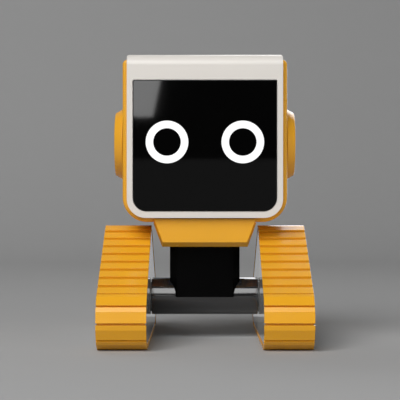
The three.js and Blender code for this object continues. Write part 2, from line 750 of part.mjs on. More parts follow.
function rearCover() {
  const body = solid(extrudeY(upright(face), shellHalfDepth + gap, -faceY));
  const side = [
    new THREE.Vector2(shellHalfDepth, face.bottom - 1),
    new THREE.Vector2(-faceY, face.bottom - 1),
    ...arc(-faceY - browRadius, face.top - browRadius, browRadius, 0, Math.PI / 2, 6),
    new THREE.Vector2(-20, face.top),
    new THREE.Vector2(-20, face.bottom - 1),
  ];
  const plate = body.intersect(solid(extrudeX(side, -60, 60)));
  const hollowed = { halfWidth: 36, bottom: 79, top: 162, bottomRadius: 5, topRadius: 5 };
  const room = solid(extrudeY(upright(hollowed), 0, -faceY - 2.2));
  const screws = [-screwX, screwX].flatMap((x) =>
    [screwLowZ, screwHighZ].flatMap((z) => [
      rodY(screwHoleRadius, 0, 60, [x, z], 6),
      rodY(screwHeadRadius + gap, -faceY - 2.4, 60, [x, z], 12),
    ]),
  );
  const buttonHole = rodY(buttonRadius + gap, 0, 60, [buttonX, buttonZ], 16);
  const usbReach = usbHalf.x + 0.4;
  const usbRise = usbHalf.z + 0.4;
  const usbHole = block([-usbReach, 0, usbZ - usbRise], [usbReach, 60, usbZ + usbRise]);
  const vents = Array.from({ length: ventCount }, (_, i) => {
    const z = ventLowZ + ventPitch * i;
    return block([-ventHalfWidth, 20, z - 1], [ventHalfWidth, 60, z + 1]);
  });
  return cut(plate, room, ...screws, buttonHole, usbHole, ...vents);
}

/** The lower cover, which narrows downwards and is open where the neck passes through. */
function chinCover() {
  const slope = (chinLipHalfWidth - chinFloorHalfWidth) / (chinLipZ - chinFloorZ); // how the sides spread
  const outline = (sideInset, floorInset, top = chinLipZ) => {
    const widthAt = (z) => chinFloorHalfWidth + (z - chinFloorZ) * slope - sideInset;
    const low = chinFloorZ + floorInset;
    return toVectors([[-widthAt(low), low], [widthAt(low), low], [widthAt(top), top], [-widthAt(top), top]]);
  };
  const outside = loftY([
    { y: chinFrontY, outline: outline(...chinInsets) },
    { y: chinShoulderY, outline: outline(0, 0) },
    { y: -chinShoulderY, outline: outline(0, 0) },
    { y: -chinFrontY, outline: outline(...chinInsets) },
  ]);
  const shelf = block([-60, chinLipBackY, chinTopZ], [60, 60, 90]);
  const room = loftY([
    { y: chinShoulderY + 0.4, outline: outline(chinWall, chinWall, 80) },
    { y: -chinShoulderY - 0.4, outline: outline(chinWall, chinWall, 80) },
  ]);
  const [openX, openY] = [22.9, 18];
  const neckOpening = block([-openX, -openY, chinFloorZ - 1], [openX, openY, chinFloorZ + chinWall + 1]);
  return cut(outside, shelf, room, neckOpening);
}

const earFaceX = 54.4;
const earBaseRadius = 22;
const earRimRadius = 19.3;
const earRecessRadius = 13.6;
const earRecessDepth = 1.4;
const earWall = 1.6;

function earCover() {
  const seat = shell.halfWidth + gap;
  const spigot = earHoleRadius - 0.4;
  const recess = earFaceX - earRecessDepth;
  const spigotEnd = seat - 2.6;
  const profile = [
    [0, recess], [earRecessRadius, recess], [earRecessRadius + 1.2, earFaceX],
    [earRimRadius - 0.4, earFaceX], [earRimRadius, earFaceX - 0.4], [earBaseRadius, seat],
    [spigot, seat], [spigot, spigotEnd], [spigot - earWall, spigotEnd],
    [spigot - earWall, recess - earWall], [0, recess - earWall],
  ];
  const rings = [[0, 1], [7.5, 6]]; // radius and number of the sound holes
  const holes = rings.flatMap(([radius, count]) =>
    Array.from({ length: count }, (_, i) => {
      const angle = (2 * Math.PI * i) / count;
      return rodX(1.8, 40, 60, [radius * Math.cos(angle), radius * Math.sin(angle)], 6);
    }),
  );
  return cut(solid(turnedX(profile, 28)), ...holes);
}

function speaker() {
  const profile = [
    [0, 36.5], [7.5, 36.5], [7.5, 40.5], [12.4, 43.8], [12.4, 46], [11, 46], [5, 43.4], [0, 44.4],
  ];
  return solid(turnedX(profile, 12));
}

function tiltBracket() {
  const armEndZ = tiltZ - 5.5;
  const [bridgeZ, bridgeTopZ] = [80, 82];
  const [footZ, footTopZ] = [shell.bottom + shellWall + gap, 75.3];
  const half = [
    [0, bridgeZ], [armX[0], bridgeZ], [armX[0], armEndZ], [armX[1], armEndZ], [armX[1], bridgeZ],
    [28, bridgeZ], [28, footZ], [34, footZ], [34, footTopZ], [30, footTopZ], [30, bridgeTopZ],
    [0, bridgeTopZ],
  ];
  const otherHalf = half.slice(1, -1).reverse().map(([x, z]) => [-x, z]);
  const strip = solid(extrudeY(toVectors([...half.slice(1, -1), ...otherHalf]), -6, 6));
  return cut(strip, rodX(2.3, -40, -10, [0, tiltZ], 16), rodX(1.5, 10, 40, [0, tiltZ], 12));
}

function mainBoard() {
  const [boardFront, boardBack] = [-18, -16.4];
  const board = block([-34, boardFront, 88], [34, boardBack, 150]);
  const root = boardBack - 0.5; // the parts on the board reach into it
  const parts = [
    block([-10, root, 118], [10, -15, 138]),
    block([-28, root, 122], [-16, -14.6, 134]),
    block([16, root, 100], [30, -13.4, 106]),
    block([-30, root, 94], [-8, -12.6, 99]),
    block([14, root, 124], [28, -15.2, 132]),
  ];
  return join(board, ...parts);
}

function batteryPack() {
  const cell = { radius: 9.2, halfLength: 32.5, y: 12.4, heights: [95.5, 114.5] };
  const cells = cell.heights.map((z) =>
    rodX(cell.radius, -cell.halfLength, cell.halfLength, [cell.y, z], 20),
  );
  const wrap = block([-30, 4, cell.heights[0]], [30, 20.8, cell.heights[1]]);
  return join(...cells, wrap);
}

function usbPort() {
  const outside = {
    halfWidth: usbHalf.x, bottom: usbZ - usbHalf.z, top: usbZ + usbHalf.z, bottomRadius: 1.5, topRadius: 1.5,
  };
  const shellBody = solid(extrudeY(upright(outside), 24, -faceY - 0.6));
  const mouth = solid(extrudeY(upright(outside, 0.4), 25, 60));
  const tongue = block([-3.2, 24.6, usbZ - 0.35], [3.2, 30.4, usbZ + 0.35]);
  return join(cut(shellBody, mouth), tongue);
}

function rearScrew() {
  const head = -faceY - 2.1;
  const shank = screwHoleRadius - gap;
  const tip = 16;
  const profile = [
    [0, tip], [shank, tip], [shank, head], [screwHeadRadius, head], [screwHeadRadius, head + 1.2],
    [screwHeadRadius - 0.6, head + 1.7], [0, head + 1.7],
  ];
  const screw = solid(turnedY(profile, 12));
  const crossA = block([-2, head + 0.9, -0.4], [2, head + 3, 0.4]);
  const crossB = block([-0.4, head + 0.9, -2], [0.4, head + 3, 2]);
  return cut(screw, crossA, crossB);
}

function powerButton() {
  const back = -faceY - 2.2 - gap;
  const flange = buttonRadius + 1.5;
  const profile = [
    [0, back - 3], [2, back - 3], [2, back - 1.2], [flange, back - 1.2], [flange, back],
    [buttonRadius, back], [buttonRadius, -faceY + 0.8], [buttonRadius - 0.6, -faceY + 1.4],
    [0, -faceY + 1.4],
  ];
  return solid(turnedY(profile, 16));
}

function addHead(parent) {
  addPiece(parent, 'head_shell', headShell(), orangePlastic);
  addPiece(parent, 'front_frame', frontFrame(), whitePlastic);
  addPiece(parent, 'display_glass', displayGlass(), blackGlass);
  addPiece(parent, 'display_module', displayModule(), steel);
  addPiece(parent, 'rear_cover', rearCover(), whitePlastic);
  addPiece(parent, 'chin_cover', chinCover(), orangePlastic);
  addPiece(parent, 'tilt_bracket', tiltBracket(), steel);
  addPiece(parent, 'servo_horn', servoHorn(), naturalNylon, [0, 0, tiltZ]);
  addPiece(parent, 'pivot_screw', pivotScrew(), steel, [0, 0, tiltZ]);
  addPiece(parent, 'main_board', mainBoard(), boardGreen);
  addPiece(parent, 'battery_pack', batteryPack(), cellWrap);
  addPiece(parent, 'usb_port', usbPort(), steel);
  addPiece(parent, 'power_button', powerButton(), orangePlastic, [buttonX, 0, buttonZ]);
  for (const [side, sign] of [['left', -1], ['right', 1]]) {
    addPiece(parent, `${side}_eye_ring`, eyeRing(), eyeLight, [sign * eyeX, 0, eyeZ]);
    const ear = geometryOf(earCover());
    const cone = geometryOf(speaker());
    addPiece(parent, `${side}_ear_cover`, sign < 0 ? mirrored(ear) : ear, orangePlastic, [0, 0, earZ]);
    addPiece(parent, `${side}_speaker`, sign < 0 ? mirrored(cone) : cone, darkPlastic, [0, 0, earZ]);
    for (const [height, z] of [['lower', screwLowZ], ['upper', screwHighZ]]) {
      addPiece(parent, `${side}_${height}_rear_screw`, rearScrew(), steel, [sign * screwX, 0, z]);
    }
  }
}

// ---------------------------------------------------------------- assembly

const robot = new THREE.Group();
addTracks(robot);
addChassis(robot);
addHead(robot);

export default robot;
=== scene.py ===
import json
import math

import bmesh
import bpy
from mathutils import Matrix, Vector


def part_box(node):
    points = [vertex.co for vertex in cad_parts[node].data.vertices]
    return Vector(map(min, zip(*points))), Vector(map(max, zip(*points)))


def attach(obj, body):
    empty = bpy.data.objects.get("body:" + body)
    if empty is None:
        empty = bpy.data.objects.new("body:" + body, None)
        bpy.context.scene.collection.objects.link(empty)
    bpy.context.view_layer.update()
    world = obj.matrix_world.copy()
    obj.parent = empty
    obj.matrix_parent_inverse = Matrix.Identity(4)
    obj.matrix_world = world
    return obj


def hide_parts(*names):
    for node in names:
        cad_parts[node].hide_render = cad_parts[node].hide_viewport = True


# The looks of an educational coding robot: a tilting head with a display face, on two triangular rubber
# tracks. The face looks along -Y. Shapes are drawn in millimetres and scaled to metres by piece().

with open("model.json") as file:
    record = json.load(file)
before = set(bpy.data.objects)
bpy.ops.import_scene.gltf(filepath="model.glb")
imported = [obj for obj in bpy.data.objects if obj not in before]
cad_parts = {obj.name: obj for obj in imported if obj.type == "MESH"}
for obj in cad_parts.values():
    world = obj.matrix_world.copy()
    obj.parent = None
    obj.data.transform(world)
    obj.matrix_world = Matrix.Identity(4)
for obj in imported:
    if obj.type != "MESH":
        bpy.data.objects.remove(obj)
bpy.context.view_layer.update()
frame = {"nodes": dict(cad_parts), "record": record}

MM = 0.001

# ---------------------------------------------------------------- sizes taken from the frame


def span(node):
    """A CAD node's lowest and highest corners, in millimetres."""
    low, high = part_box(node)
    return low / MM, high / MM


JOINT_AT = {
    joint["name"]: Vector(joint["pos_m"]) / MM
    for joint in frame["record"]["behaviour"]["joints"]
    if "pos_m" in joint
}
FRONT_WHEEL = JOINT_AT["right_front_idler_spin"].yz
REAR_WHEEL = JOINT_AT["right_rear_idler_spin"].yz
TOP_WHEEL = JOINT_AT["right_sprocket_spin"].yz
WHEELS = {"front": FRONT_WHEEL, "rear": REAR_WHEEL, "top": TOP_WHEEL}
TILT_Z = JOINT_AT["head_tilt"].z
GEAR_Z = JOINT_AT["right_drive_gear_spin"].z

belt_low, belt_high = span("right_track_belt")
BELT_X = (belt_low.x + belt_high.x) / 2
BELT_HALF = (belt_high.x - belt_low.x) / 2
BELT_RADIUS = FRONT_WHEEL.y - belt_low.z

shell_low, shell_high = span("head_shell")
frame_low, frame_high = span("front_frame")
rear_low, rear_high = span("rear_cover")
glass_low, glass_high = span("display_glass")
eye_low, eye_high = span("right_eye_ring")
ear_low, ear_high = span("right_ear_cover")
chin_low, chin_high = span("chin_cover")
neck_low, neck_high = span("neck_front_cover")
tube_low, tube_high = span("axle_housing")
button_low, button_high = span("power_button")
usb_low, usb_high = span("usb_port")

TUBE_Z = (tube_low.z + tube_high.z) / 2
TUBE_RADIUS = (tube_high.z - tube_low.z) / 2
EYE_X = (eye_low.x + eye_high.x) / 2
EYE_Z = (eye_low.z + eye_high.z) / 2
EYE_RADIUS = (eye_high.x - eye_low.x) / 2
EAR_Z = (ear_low.z + ear_high.z) / 2
EAR_RADIUS = (ear_high.z - ear_low.z) / 2
BUTTON_X = (button_low.x + button_high.x) / 2
BUTTON_Z = (button_low.z + button_high.z) / 2
USB_Z = (usb_low.z + usb_high.z) / 2
FACE_Y = frame_low.y
BACK_Y = rear_high.y

# ---------------------------------------------------------------- sizes of the details

GAP = 0.3  # between neighbouring pieces
CLEAR = 1.0  # how far a cutting tool reaches past what it cuts
FAR = 60.0  # a cutting tool's end, past the whole head in X and Y

LUG_COUNT = 42
LUG_HEIGHT = 2.0
GROOVE_LENGTH = 1.1
GROOVE_ANGLE = math.radians(183.3)  # where one groove sits on the front wheel
RAMP_LENGTH = 2.5
RAMP_DROP = 0.8  # how far below the lug's top its ramp starts
BELT_INNER_RADIUS = 12.6
BELT_PITCH_RADIUS = 15.0  # where the belt keeps its length as it bends
LUG_OVERHANG = 0.6
LUG_UNDERCUT = 0.15  # the overhang's underside, above the groove floor
LUG_EDGE = 0.15  # rounding of a lug's edges
STATION_SPACING = 1.2  # longest stretch of belt between two of its sections
REBATE_WIDTH = 1.6
REBATE_RADIUS = 13.5

PLATE_RADIUS = 13.2
PLATE_SKIN = 1.1
PLATE_RECESS = 0.2  # of the plates' faces, inside the belt's edges
PLATE_FACE = BELT_HALF - PLATE_RECESS
PLATE_EDGE = 0.3
PLUG_RADIUS = 12.2
PLUG_SETBACK = 0.2  # of the plug's outer end, behind the plate's face
INNER_PLUG_DEPTH = 3.0
OUTER_PLUG_DEPTH = 3.4
COLLAR_RADIUS = 9.4  # of the inner plate's collar round the tube
COLLAR_BORE_RADIUS = 8.4
COLLAR_LENGTH = 4.0
COLLAR_ROOT = 0.5
SHAFT_HOLE_RADIUS = 3.6
DISH_CORNERS = [(-38, 9.5), (38, 9.5), (7, 35), (-7, 35)]
DISH_ROUNDING = 3.0
DISH_DEPTH = 0.8

HUB_CAP_RADIUS = 7.2
HUB_RECESS = 1.2
HUB_STEM_RADIUS = 1.2
HUB_STEM_LENGTH = 4.5
HUB_WALL = 0.5  # height of the cap's straight side
HUB_TOP = 1.0  # height of the cap
HUB_BEVEL = 0.6
HUB_DIMPLE_RADII = (3.2, 2.6)
HUB_DIMPLE_FLOOR = 0.6  # above the cap's seat
HUB_ROUNDING = 0.25

TUBE_WALL = 1.5
TUBE_END_ROUNDING = 0.4
WIRE_HOLE_RADIUS = 4.0
WIRE_HOLE_REACH = 20.0  # up from the tube's axis, and down from the tilt axis to its end in the neck

NECK_CHAMFER = (4.4, 6.4)
NECK_WALL = 2.0
NECK_EDGE = 0.35
PIVOT_HOLE_RADIUS = 4.6
PAST_NECK = (40.0, 40.0, 100.0)  # a corner well past the neck

SHELL_WALL = 2.0
SHELL_EDGE = 1.4
SHELL_RIM = 0.2  # bevel of the rear rim's inner edge
SHELL_RADII = (14.8, 3.0)  # bottom and top corners
WINDOW_HALF = 43.6  # of the opening behind the display
WINDOW_HEIGHTS = (77.0, 162.0)
WINDOW_RADII = (6.0, 3.0)
SHELL_OPENING = (27.5, 17.5)  # half the width and depth of the head shell's opening for the neck
SHELL_OPENING_HEIGHT = 5.0
EAR_HOLE_RADIUS = 15.0

FACE_RADII = (11.2, 1.6)
BROW_RADIUS = 6.6
LIP_WIDTH = 3.2  # of the frame's lip behind the edge of the glass
LIP_BACK = 3.8  # behind the frame's front
FRAME_EDGE = 0.45

GLASS_RADII = (8.0, 0.8)
GLASS_EDGE = 0.3
EYE_RING_WIDTH = 4.45
EYE_INNER_RADIUS = EYE_RADIUS - EYE_RING_WIDTH
EYE_GROOVE_DEPTH = 1.2
EYE_ROUNDING = 0.12

SCREW_X = 41.5
SCREW_HEIGHTS = {"lower": 84.0, "upper": 158.0}
SCREW_HOLE_RADIUS = 1.7
SCREW_TIP_Y = 16.0
SCREW_SHANK_RADIUS = 1.4
SCREW_HEAD_RADII = (3.0, 2.4)
SCREW_HEAD_SINK = 2.1  # the head's underside, below the rear cover's back
SCREW_HEAD_HEIGHTS = (1.2, 1.7)
SCREW_ROUNDING = 0.2
CROSS_HALVES = (2.0, 0.4)  # half the length and width of an arm of the screw's cross
CROSS_FLOOR = 0.9  # above the head's underside
CROSS_TOP = 3.0  # the cutting tool's end, above the head's underside
HEAD_HOLE_RADIUS = 3.3  # of the rear cover's recess for a screw's head
HEAD_HOLE_DEPTH = 2.4
BOSS_RADIUS = 4.0
BOSS_START = 12.0  # Y of the screw bosses' front ends
BOSS_HOLE_START = 14.0  # Y of the bottoms of their holes

REAR_ROOM_HALF = 36.0
REAR_ROOM_HEIGHTS = (79.0, 162.0)
REAR_ROOM_RADII = (5.0, 5.0)
REAR_SKIN = 2.2
REAR_EDGE = 0.4
BEFORE_REAR = -20.0  # a Y well in front of the rear cover
VENT_COUNT = 5
VENT_LOWEST = 92
VENT_SPACING = 6
VENT_HALVES = (20, 1)
VENT_ROUNDING = 0.95
VENT_START = 20  # Y at which the tools for the vents start

BUTTON_HOLE_RADIUS = 5.0
BUTTON_RADII = {"rod": 2.0, "flange": 6.2, "cap": 4.7, "rim": 4.1, "dish": 2.6}
BUTTON_ROD_LENGTH = 3.0
BUTTON_FLANGE = 1.2
BUTTON_BEVEL = 0.5
BUTTON_DISH_DEPTH = 0.35
BUTTON_ROUNDING = 0.3

USB_SLOT_HALVES = (4.9, 2)
USB_SLOT_ROUNDING = 1.9
USB_RADII = (1.5, 1.5)
USB_WALL = 0.4
USB_BACK = 1.0
TONGUE_HALVES = (3.2, 0.35)
TONGUE_START = 0.6
TONGUE_SETBACK = 1.0
STEEL_EDGE = 0.08

CHIN_SHOULDER = 4.0  # how far the chin's flat front stands before its full outline
CHIN_LIP_DEPTH = 2.2  # of the strip in front of the head shell
CHIN_INSETS = (1.5, 2.8)  # how far the flat front is drawn in, at the sides and below
CHIN_FLOOR_HALF = 25.5
CHIN_WALL = 1.6
CHIN_ROOM_SETBACK = 0.4  # of the inner room, behind the full outline's start
CHIN_ROOM_TOP = 80.0  # Z at which the tool for the inner room ends
CHIN_SHELF_TOP = 90.0  # Z at which the tool for the head shell's seat ends
CHIN_OPENING = (22.9, 18.0)  # half the width and depth of its opening for the neck
CHIN_EDGE = 0.3

EAR_SPIGOT_RADIUS = 14.6
EAR_SPIGOT_WALL = 1.6
EAR_SKIN = 3.0  # from the rim's face to the inside of the sunken middle
EAR_DISH_DEPTH = 1.4
EAR_DISH_RADII = (13.6, 14.8)
EAR_RIM_RADII = (18.9, 19.3)
EAR_BEVEL = 0.4
EAR_ROUNDING = 0.35
EAR_EDGE = 0.15
SOUND_HOLE_RADIUS = 1.8
SOUND_HOLE_START = 40.0  # X at which the tools for the sound holes start
SOUND_HOLE_RINGS = ((0.0, 1), (7.5, 6))  # each ring's radius and its number of holes

# ---------------------------------------------------------------- outlines

QUARTER = math.pi / 2
SMALLEST_RADIUS = 0.3  # of a rounded rectangle's corners
NEARLY_STRAIGHT = 0.02  # a corner that turns less than this, in radians, isn't rounded
CORNER_SHARE = 0.45  # of a side's length that the rounding of one corner may take


def arc(centre, radius, start, end, steps):
    """Points on an arc, both ends included."""
    angles = [start + (end - start) * i / steps for i in range(steps + 1)]
    return [(centre[0] + radius * math.cos(a), centre[1] + radius * math.sin(a)) for a in angles]


def circle(centre, radius, sides=48):
    return arc(centre, radius, 0, 2 * math.pi * (sides - 1) / sides, sides - 1)


def upright(half, bottom, top, radii, inset=0.0, steps=16):
    """A rounded rectangle in (X, Z) with its own bottom and top corner radii, drawn in by an inset."""
    w, low, high = half - inset, bottom + inset, top - inset
    r, t = (max(radius - inset, SMALLEST_RADIUS) for radius in radii)
    return [
        *arc((w - r, low + r), r, -QUARTER, 0, steps),
        *arc((w - t, high - t), t, 0, QUARTER, steps),
        *arc((t - w, high - t), t, QUARTER, 2 * QUARTER, steps),
        *arc((r - w, low + r), r, 2 * QUARTER, 3 * QUARTER, steps),
    ]


def rounded(points, radius, steps=4, is_open=False):
    """An outline with its corners rounded, but not those at u = 0, and not an open one's last point."""
    result = []
    for i, point in enumerate(points):
        corner = Vector(point)
        if point[0] == 0 or (is_open and i == len(points) - 1):
            result.append(corner)
            continue
        back = Vector(points[i - 1]) - corner
        ahead = Vector(points[(i + 1) % len(points)]) - corner
        turn = back.angle(ahead)
        if turn > math.pi - NEARLY_STRAIGHT:
            result.append(corner)
            continue
        longest = CORNER_SHARE * min(back.length, ahead.length)
        reach = min(radius / math.tan(turn / 2), longest)
        own_radius = reach * math.tan(turn / 2)
        inward = (back.normalized() + ahead.normalized()).normalized()
        centre = corner + inward * (own_radius / math.sin(turn / 2))
        start = corner + back.normalized() * reach - centre
        end = corner + ahead.normalized() * reach - centre
        sweep = math.pi - turn
        for k in range(steps + 1):
            t = k / steps
            blend = math.sin((1 - t) * sweep) * start + math.sin(t * sweep) * end
            result.append(centre + blend / math.sin(sweep))
    return [tuple(p) for p in result]


# The angle in (Y, Z) at which the belt's rear slope faces outwards. The front slope mirrors it.
SLOPE_NORMAL = math.atan2(TOP_WHEEL.x - FRONT_WHEEL.x, TOP_WHEEL.y - FRONT_WHEEL.y)


def loop(radius, steps=28):
    """The loop in (Y, Z) that a band takes round the three wheels."""
    return [
        *arc(REAR_WHEEL, radius, -QUARTER, SLOPE_NORMAL, steps),
        *arc(TOP_WHEEL, radius, SLOPE_NORMAL, math.pi - SLOPE_NORMAL, steps // 2),
        *arc(FRONT_WHEEL, radius, math.pi - SLOPE_NORMAL, 3 * QUARTER, steps),
    ]


def slot_outline(z, halves, radius, steps):
    """A rounded slot in (X, Z), with its middle at X = 0."""
    x, tall = halves
    return rounded([(-x, z - tall), (x, z - tall), (x, z + tall), (-x, z + tall)], radius, steps)


def quarter_edge(size, steps):
    """The (inset, depth) pairs of a quarter round between a side and a face."""
    angles = [QUARTER * k / steps for k in range(steps + 1)]
    return [(size * (1 - math.sin(a)), size * (1 - math.cos(a))) for a in angles]


# ---------------------------------------------------------------- solids

ALONG_X, ALONG_Y, ALONG_Z = "X", "Y", "Z"
WELD = 1e-5  # points closer than this become one


def placed(u, v, w, along):
    """The point at u and v across an axis, and at w along it."""
    if along == ALONG_X:
        return (w, u, v)
    if along == ALONG_Y:
        return (u, w, v)
    return (u, v, w)


def closed_mesh(mesh):
    bmesh.ops.remove_doubles(mesh, verts=mesh.verts, dist=WELD)
    bmesh.ops.recalc_face_normals(mesh, faces=mesh.faces)
    return mesh


def skin(rings, closed=False):
    """A solid through rings with the same count of points. A closed one has no ends, like a tyre."""
    mesh = bmesh.new()
    rows = [[mesh.verts.new(p) for p in ring] for ring in rings]
    count = len(rows[0])
    pairs = list(zip(rows, rows[1:]))
    if closed:
        pairs.append((rows[-1], rows[0]))
    for near, far in pairs:
        for i in range(count):
            j = (i + 1) % count
            mesh.faces.new((near[i], near[j], far[j], far[i]))
    if not closed:
        mesh.faces.new(rows[0])
        mesh.faces.new(rows[-1])
    return closed_mesh(mesh)


def prism(points, start, end, along):
    """An outline drawn out between two distances."""
    return skin([[placed(u, v, w, along) for u, v in points] for w in (start, end)])


def block(low, high):
    outline = [(low[0], low[1]), (high[0], low[1]), (high[0], high[1]), (low[0], high[1])]
    return prism(outline, low[2], high[2], ALONG_Z)


def turned(profile, along, centre=(0.0, 0.0), segments=96):
    """A turned solid from a half profile of (radius, distance) pairs about a line at centre."""
    rings = []
    for k in range(segments):
        angle = 2 * math.pi * k / segments
        cos, sin = math.cos(angle), math.sin(angle)
        rings.append([placed(centre[0] + r * cos, centre[1] + r * sin, w, along) for r, w in profile])
    mesh = bmesh.new()
    rows = [[mesh.verts.new(p) for p in ring] for ring in rings]
    count = len(profile)
    for near, far in zip(rows, rows[1:] + rows[:1]):
        for i in range(count):
            j = (i + 1) % count
            if profile[i][0] or profile[j][0]:
                mesh.faces.new((near[i], near[j], far[j], far[i]))
    bmesh.ops.remove_doubles(mesh, verts=mesh.verts, dist=WELD)
    bmesh.ops.dissolve_degenerate(mesh, edges=mesh.edges, dist=WELD / 10)
    return closed_mesh(mesh)


def rod(radius, start, end, along, centre, segments=48):
    return turned([(0, start), (radius, start), (radius, end), (0, end)], along, centre, segments)


def holder_of(mesh, name="worked"):
    data = bpy.data.meshes.new(name)
    mesh.to_mesh(data)
    mesh.free()
    holder = bpy.data.objects.new(name, data)
    bpy.context.scene.collection.objects.link(holder)
    return holder


def worked(operation, base, tools):
    """Cuts the tools from a solid, joins them to it, or keeps what is common."""
    holders = [holder_of(mesh) for mesh in (base, *tools)]
    for tool in holders[1:]:
        modifier = holders[0].modifiers.new("work", "BOOLEAN")
        modifier.operation = operation
        modifier.object = tool
        modifier.solver = "EXACT"
    graph = bpy.context.evaluated_depsgraph_get()
    data = bpy.data.meshes.new_from_object(holders[0].evaluated_get(graph))
    result = bmesh.new()
    result.from_mesh(data)
    bpy.data.meshes.remove(data)
    for holder in holders:
        old = holder.data
        bpy.data.objects.remove(holder)
        bpy.data.meshes.remove(old)
    return result


def cut(base, *tools):
    return worked("DIFFERENCE", base, tools)


def join(base, *tools):
    return worked("UNION", base, tools)


def common(base, *tools):
    return worked("INTERSECT", base, tools)


def mirrored(mesh):
    """The same solid on the other side of the plane X = 0."""
    bmesh.ops.scale(mesh, vec=(-1, 1, 1), verts=mesh.verts)
    bmesh.ops.reverse_faces(mesh, faces=mesh.faces)
    return mesh


def piece(node, mesh, material, body, slot, bevel=0.0):
    """Makes a solid into a finished piece that rides on a body and stands for a CAD node."""
    bmesh.ops.scale(mesh, vec=(MM, MM, MM), verts=mesh.verts)
    bmesh.ops.recalc_face_normals(mesh, faces=mesh.faces)
    sharp = math.radians(38)
    for edge in mesh.edges:
        edge.smooth = bool(bevel) or edge.calc_face_angle(0) < sharp
    for face in mesh.faces:
        face.smooth = True
    obj = holder_of(mesh, f"{node}_looks")
    if bevel:
        rounding = obj.modifiers.new("edge_rounding", "BEVEL")
        rounding.width = bevel * MM
        rounding.segments = 3
        rounding.limit_method = "ANGLE"
        rounding.angle_limit = math.radians(28)
        rounding.use_clamp_overlap = True
        rounding.miter_outer = "MITER_ARC"
        rounding.harden_normals = True
    else:
        weighted = obj.modifiers.new("weighted_normals", "WEIGHTED_NORMAL")
        weighted.keep_sharp = True
        weighted.weight = 80
    obj.data.materials.append(material)
    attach(obj, body)
    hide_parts(node)


# ---------------------------------------------------------------- materials

# How fine each pattern is. A larger number is finer.
CLOUD_SCALE = 34.0
GLOSS_SCALE = 90.0
SCUFF_SCALE = 420.0
GRAIN_SCALE = 900.0

GRAIN_DEPTH = 0.00002
GRAIN_STRENGTH = 0.6
GLOSS_SPREAD = 0.06
WEAR_WIDTH = 0.0006
WEAR_PALER = 1.25  # how much paler than the rest a worn edge is

MIX_FIRST, MIX_SECOND, MIX_RESULT = 6, 7, 2  # the places of a Mix node's colour sockets


def add(tree, kind, **settings):
    """A node with its settings. A name that starts with in_ sets that input's value or link."""
    node = tree.nodes.new(kind)
    for key, value in settings.items():
        if key.startswith("in_"):
            socket = node.inputs[key.removeprefix("in_").replace("_", " ")]
            if isinstance(value, bpy.types.NodeSocket):
                tree.links.new(value, socket)
            else:
                socket.default_value = value
        else:
            setattr(node, key, value)
    return node


def clouds(tree, where, scale, detail=3.0, roughness=0.55):
    noise = add(tree, "ShaderNodeTexNoise", in_Vector=where, in_Scale=scale, in_Detail=detail)
    noise.inputs["Roughness"].default_value = roughness
    return noise.outputs["Fac"]


def ranged(tree, value, low, high, start=0.0, end=1.0):
    """Spreads a value that runs from start to end over low to high."""
    node = add(tree, "ShaderNodeMapRange", in_Value=value)
    for name, number in (("From Min", start), ("From Max", end), ("To Min", low), ("To Max", high)):
        node.inputs[name].default_value = number
    return node.outputs["Result"]


def mixed(tree, share, first, second):
    node = add(tree, "ShaderNodeMix", data_type="RGBA")
    tree.links.new(share, node.inputs["Factor"])
    for place, colour in ((MIX_FIRST, first), (MIX_SECOND, second)):
        socket = node.inputs[place]
        if isinstance(colour, bpy.types.NodeSocket):
            tree.links.new(colour, socket)
        else:
            socket.default_value = (*colour, 1)
    return node.outputs[MIX_RESULT]


def shade(colour, factor):
    return tuple(min(1.0, channel * factor) for channel in colour)


def edge_mask(tree, radius):
    """One on edges and corners, and zero on flat stretches."""
    bevel = add(tree, "ShaderNodeBevel", samples=4, in_Radius=radius)
    normal = add(tree, "ShaderNodeNewGeometry").outputs["True Normal"]
    dot = add(tree, "ShaderNodeVectorMath", operation="DOT_PRODUCT")
    tree.links.new(bevel.outputs["Normal"], dot.inputs[0])
    tree.links.new(normal, dot.inputs[1])
    return ranged(tree, dot.outputs["Value"], 1.0, 0.0, 0.86, 0.99)


def blank(name):
    """A new material with its nodes, its shader, and the place on the piece that its patterns follow."""
    material = bpy.data.materials.new(name)
    material.use_nodes = True
    tree = material.node_tree
    where = add(tree, "ShaderNodeTexCoord").outputs["Object"]
    return material, tree, tree.nodes["Principled BSDF"], where


def set_gloss(tree, where, roughness, spread=GLOSS_SPREAD):
    gloss = clouds(tree, where, GLOSS_SCALE, detail=4.0)
    value = ranged(tree, gloss, roughness - spread, roughness + spread, start=0.3, end=0.7)
    tree.links.new(value, tree.nodes["Principled BSDF"].inputs["Roughness"])


def set_bump(tree, height, strength, depth):
    bump = add(tree, "ShaderNodeBump", in_Height=height, in_Strength=strength, in_Distance=depth)
    tree.links.new(bump.outputs["Normal"], tree.nodes["Principled BSDF"].inputs["Normal"])


def moulded(name, colour, roughness, mottle=0.03, grain=GRAIN_SCALE, grain_depth=GRAIN_DEPTH,
            spread=GLOSS_SPREAD, wear=0.0, ior=1.5, specular=0.5):
    """A moulded surface: cloudy colour, fine grain, uneven gloss and, if asked, paler edges."""
    material, tree, shader, where = blank(name)
    cloud = clouds(tree, where, CLOUD_SCALE)
    base = mixed(tree, cloud, shade(colour, 1 - mottle), shade(colour, 1 + mottle))
    if wear:
        scuffs = clouds(tree, where, SCUFF_SCALE, detail=4.0)
        worn = add(tree, "ShaderNodeMath", operation="MULTIPLY")
        tree.links.new(edge_mask(tree, WEAR_WIDTH), worn.inputs[0])
        tree.links.new(ranged(tree, scuffs, 0.0, wear, start=0.45, end=0.7), worn.inputs[1])
        base = mixed(tree, worn.outputs["Value"], base, shade(colour, WEAR_PALER))
    tree.links.new(base, shader.inputs["Base Color"])
    set_gloss(tree, where, roughness, spread)
    shader.inputs["IOR"].default_value = ior
    shader.inputs["Specular IOR Level"].default_value = specular
    set_bump(tree, clouds(tree, where, grain, detail=2.0), GRAIN_STRENGTH, grain_depth)
    return material


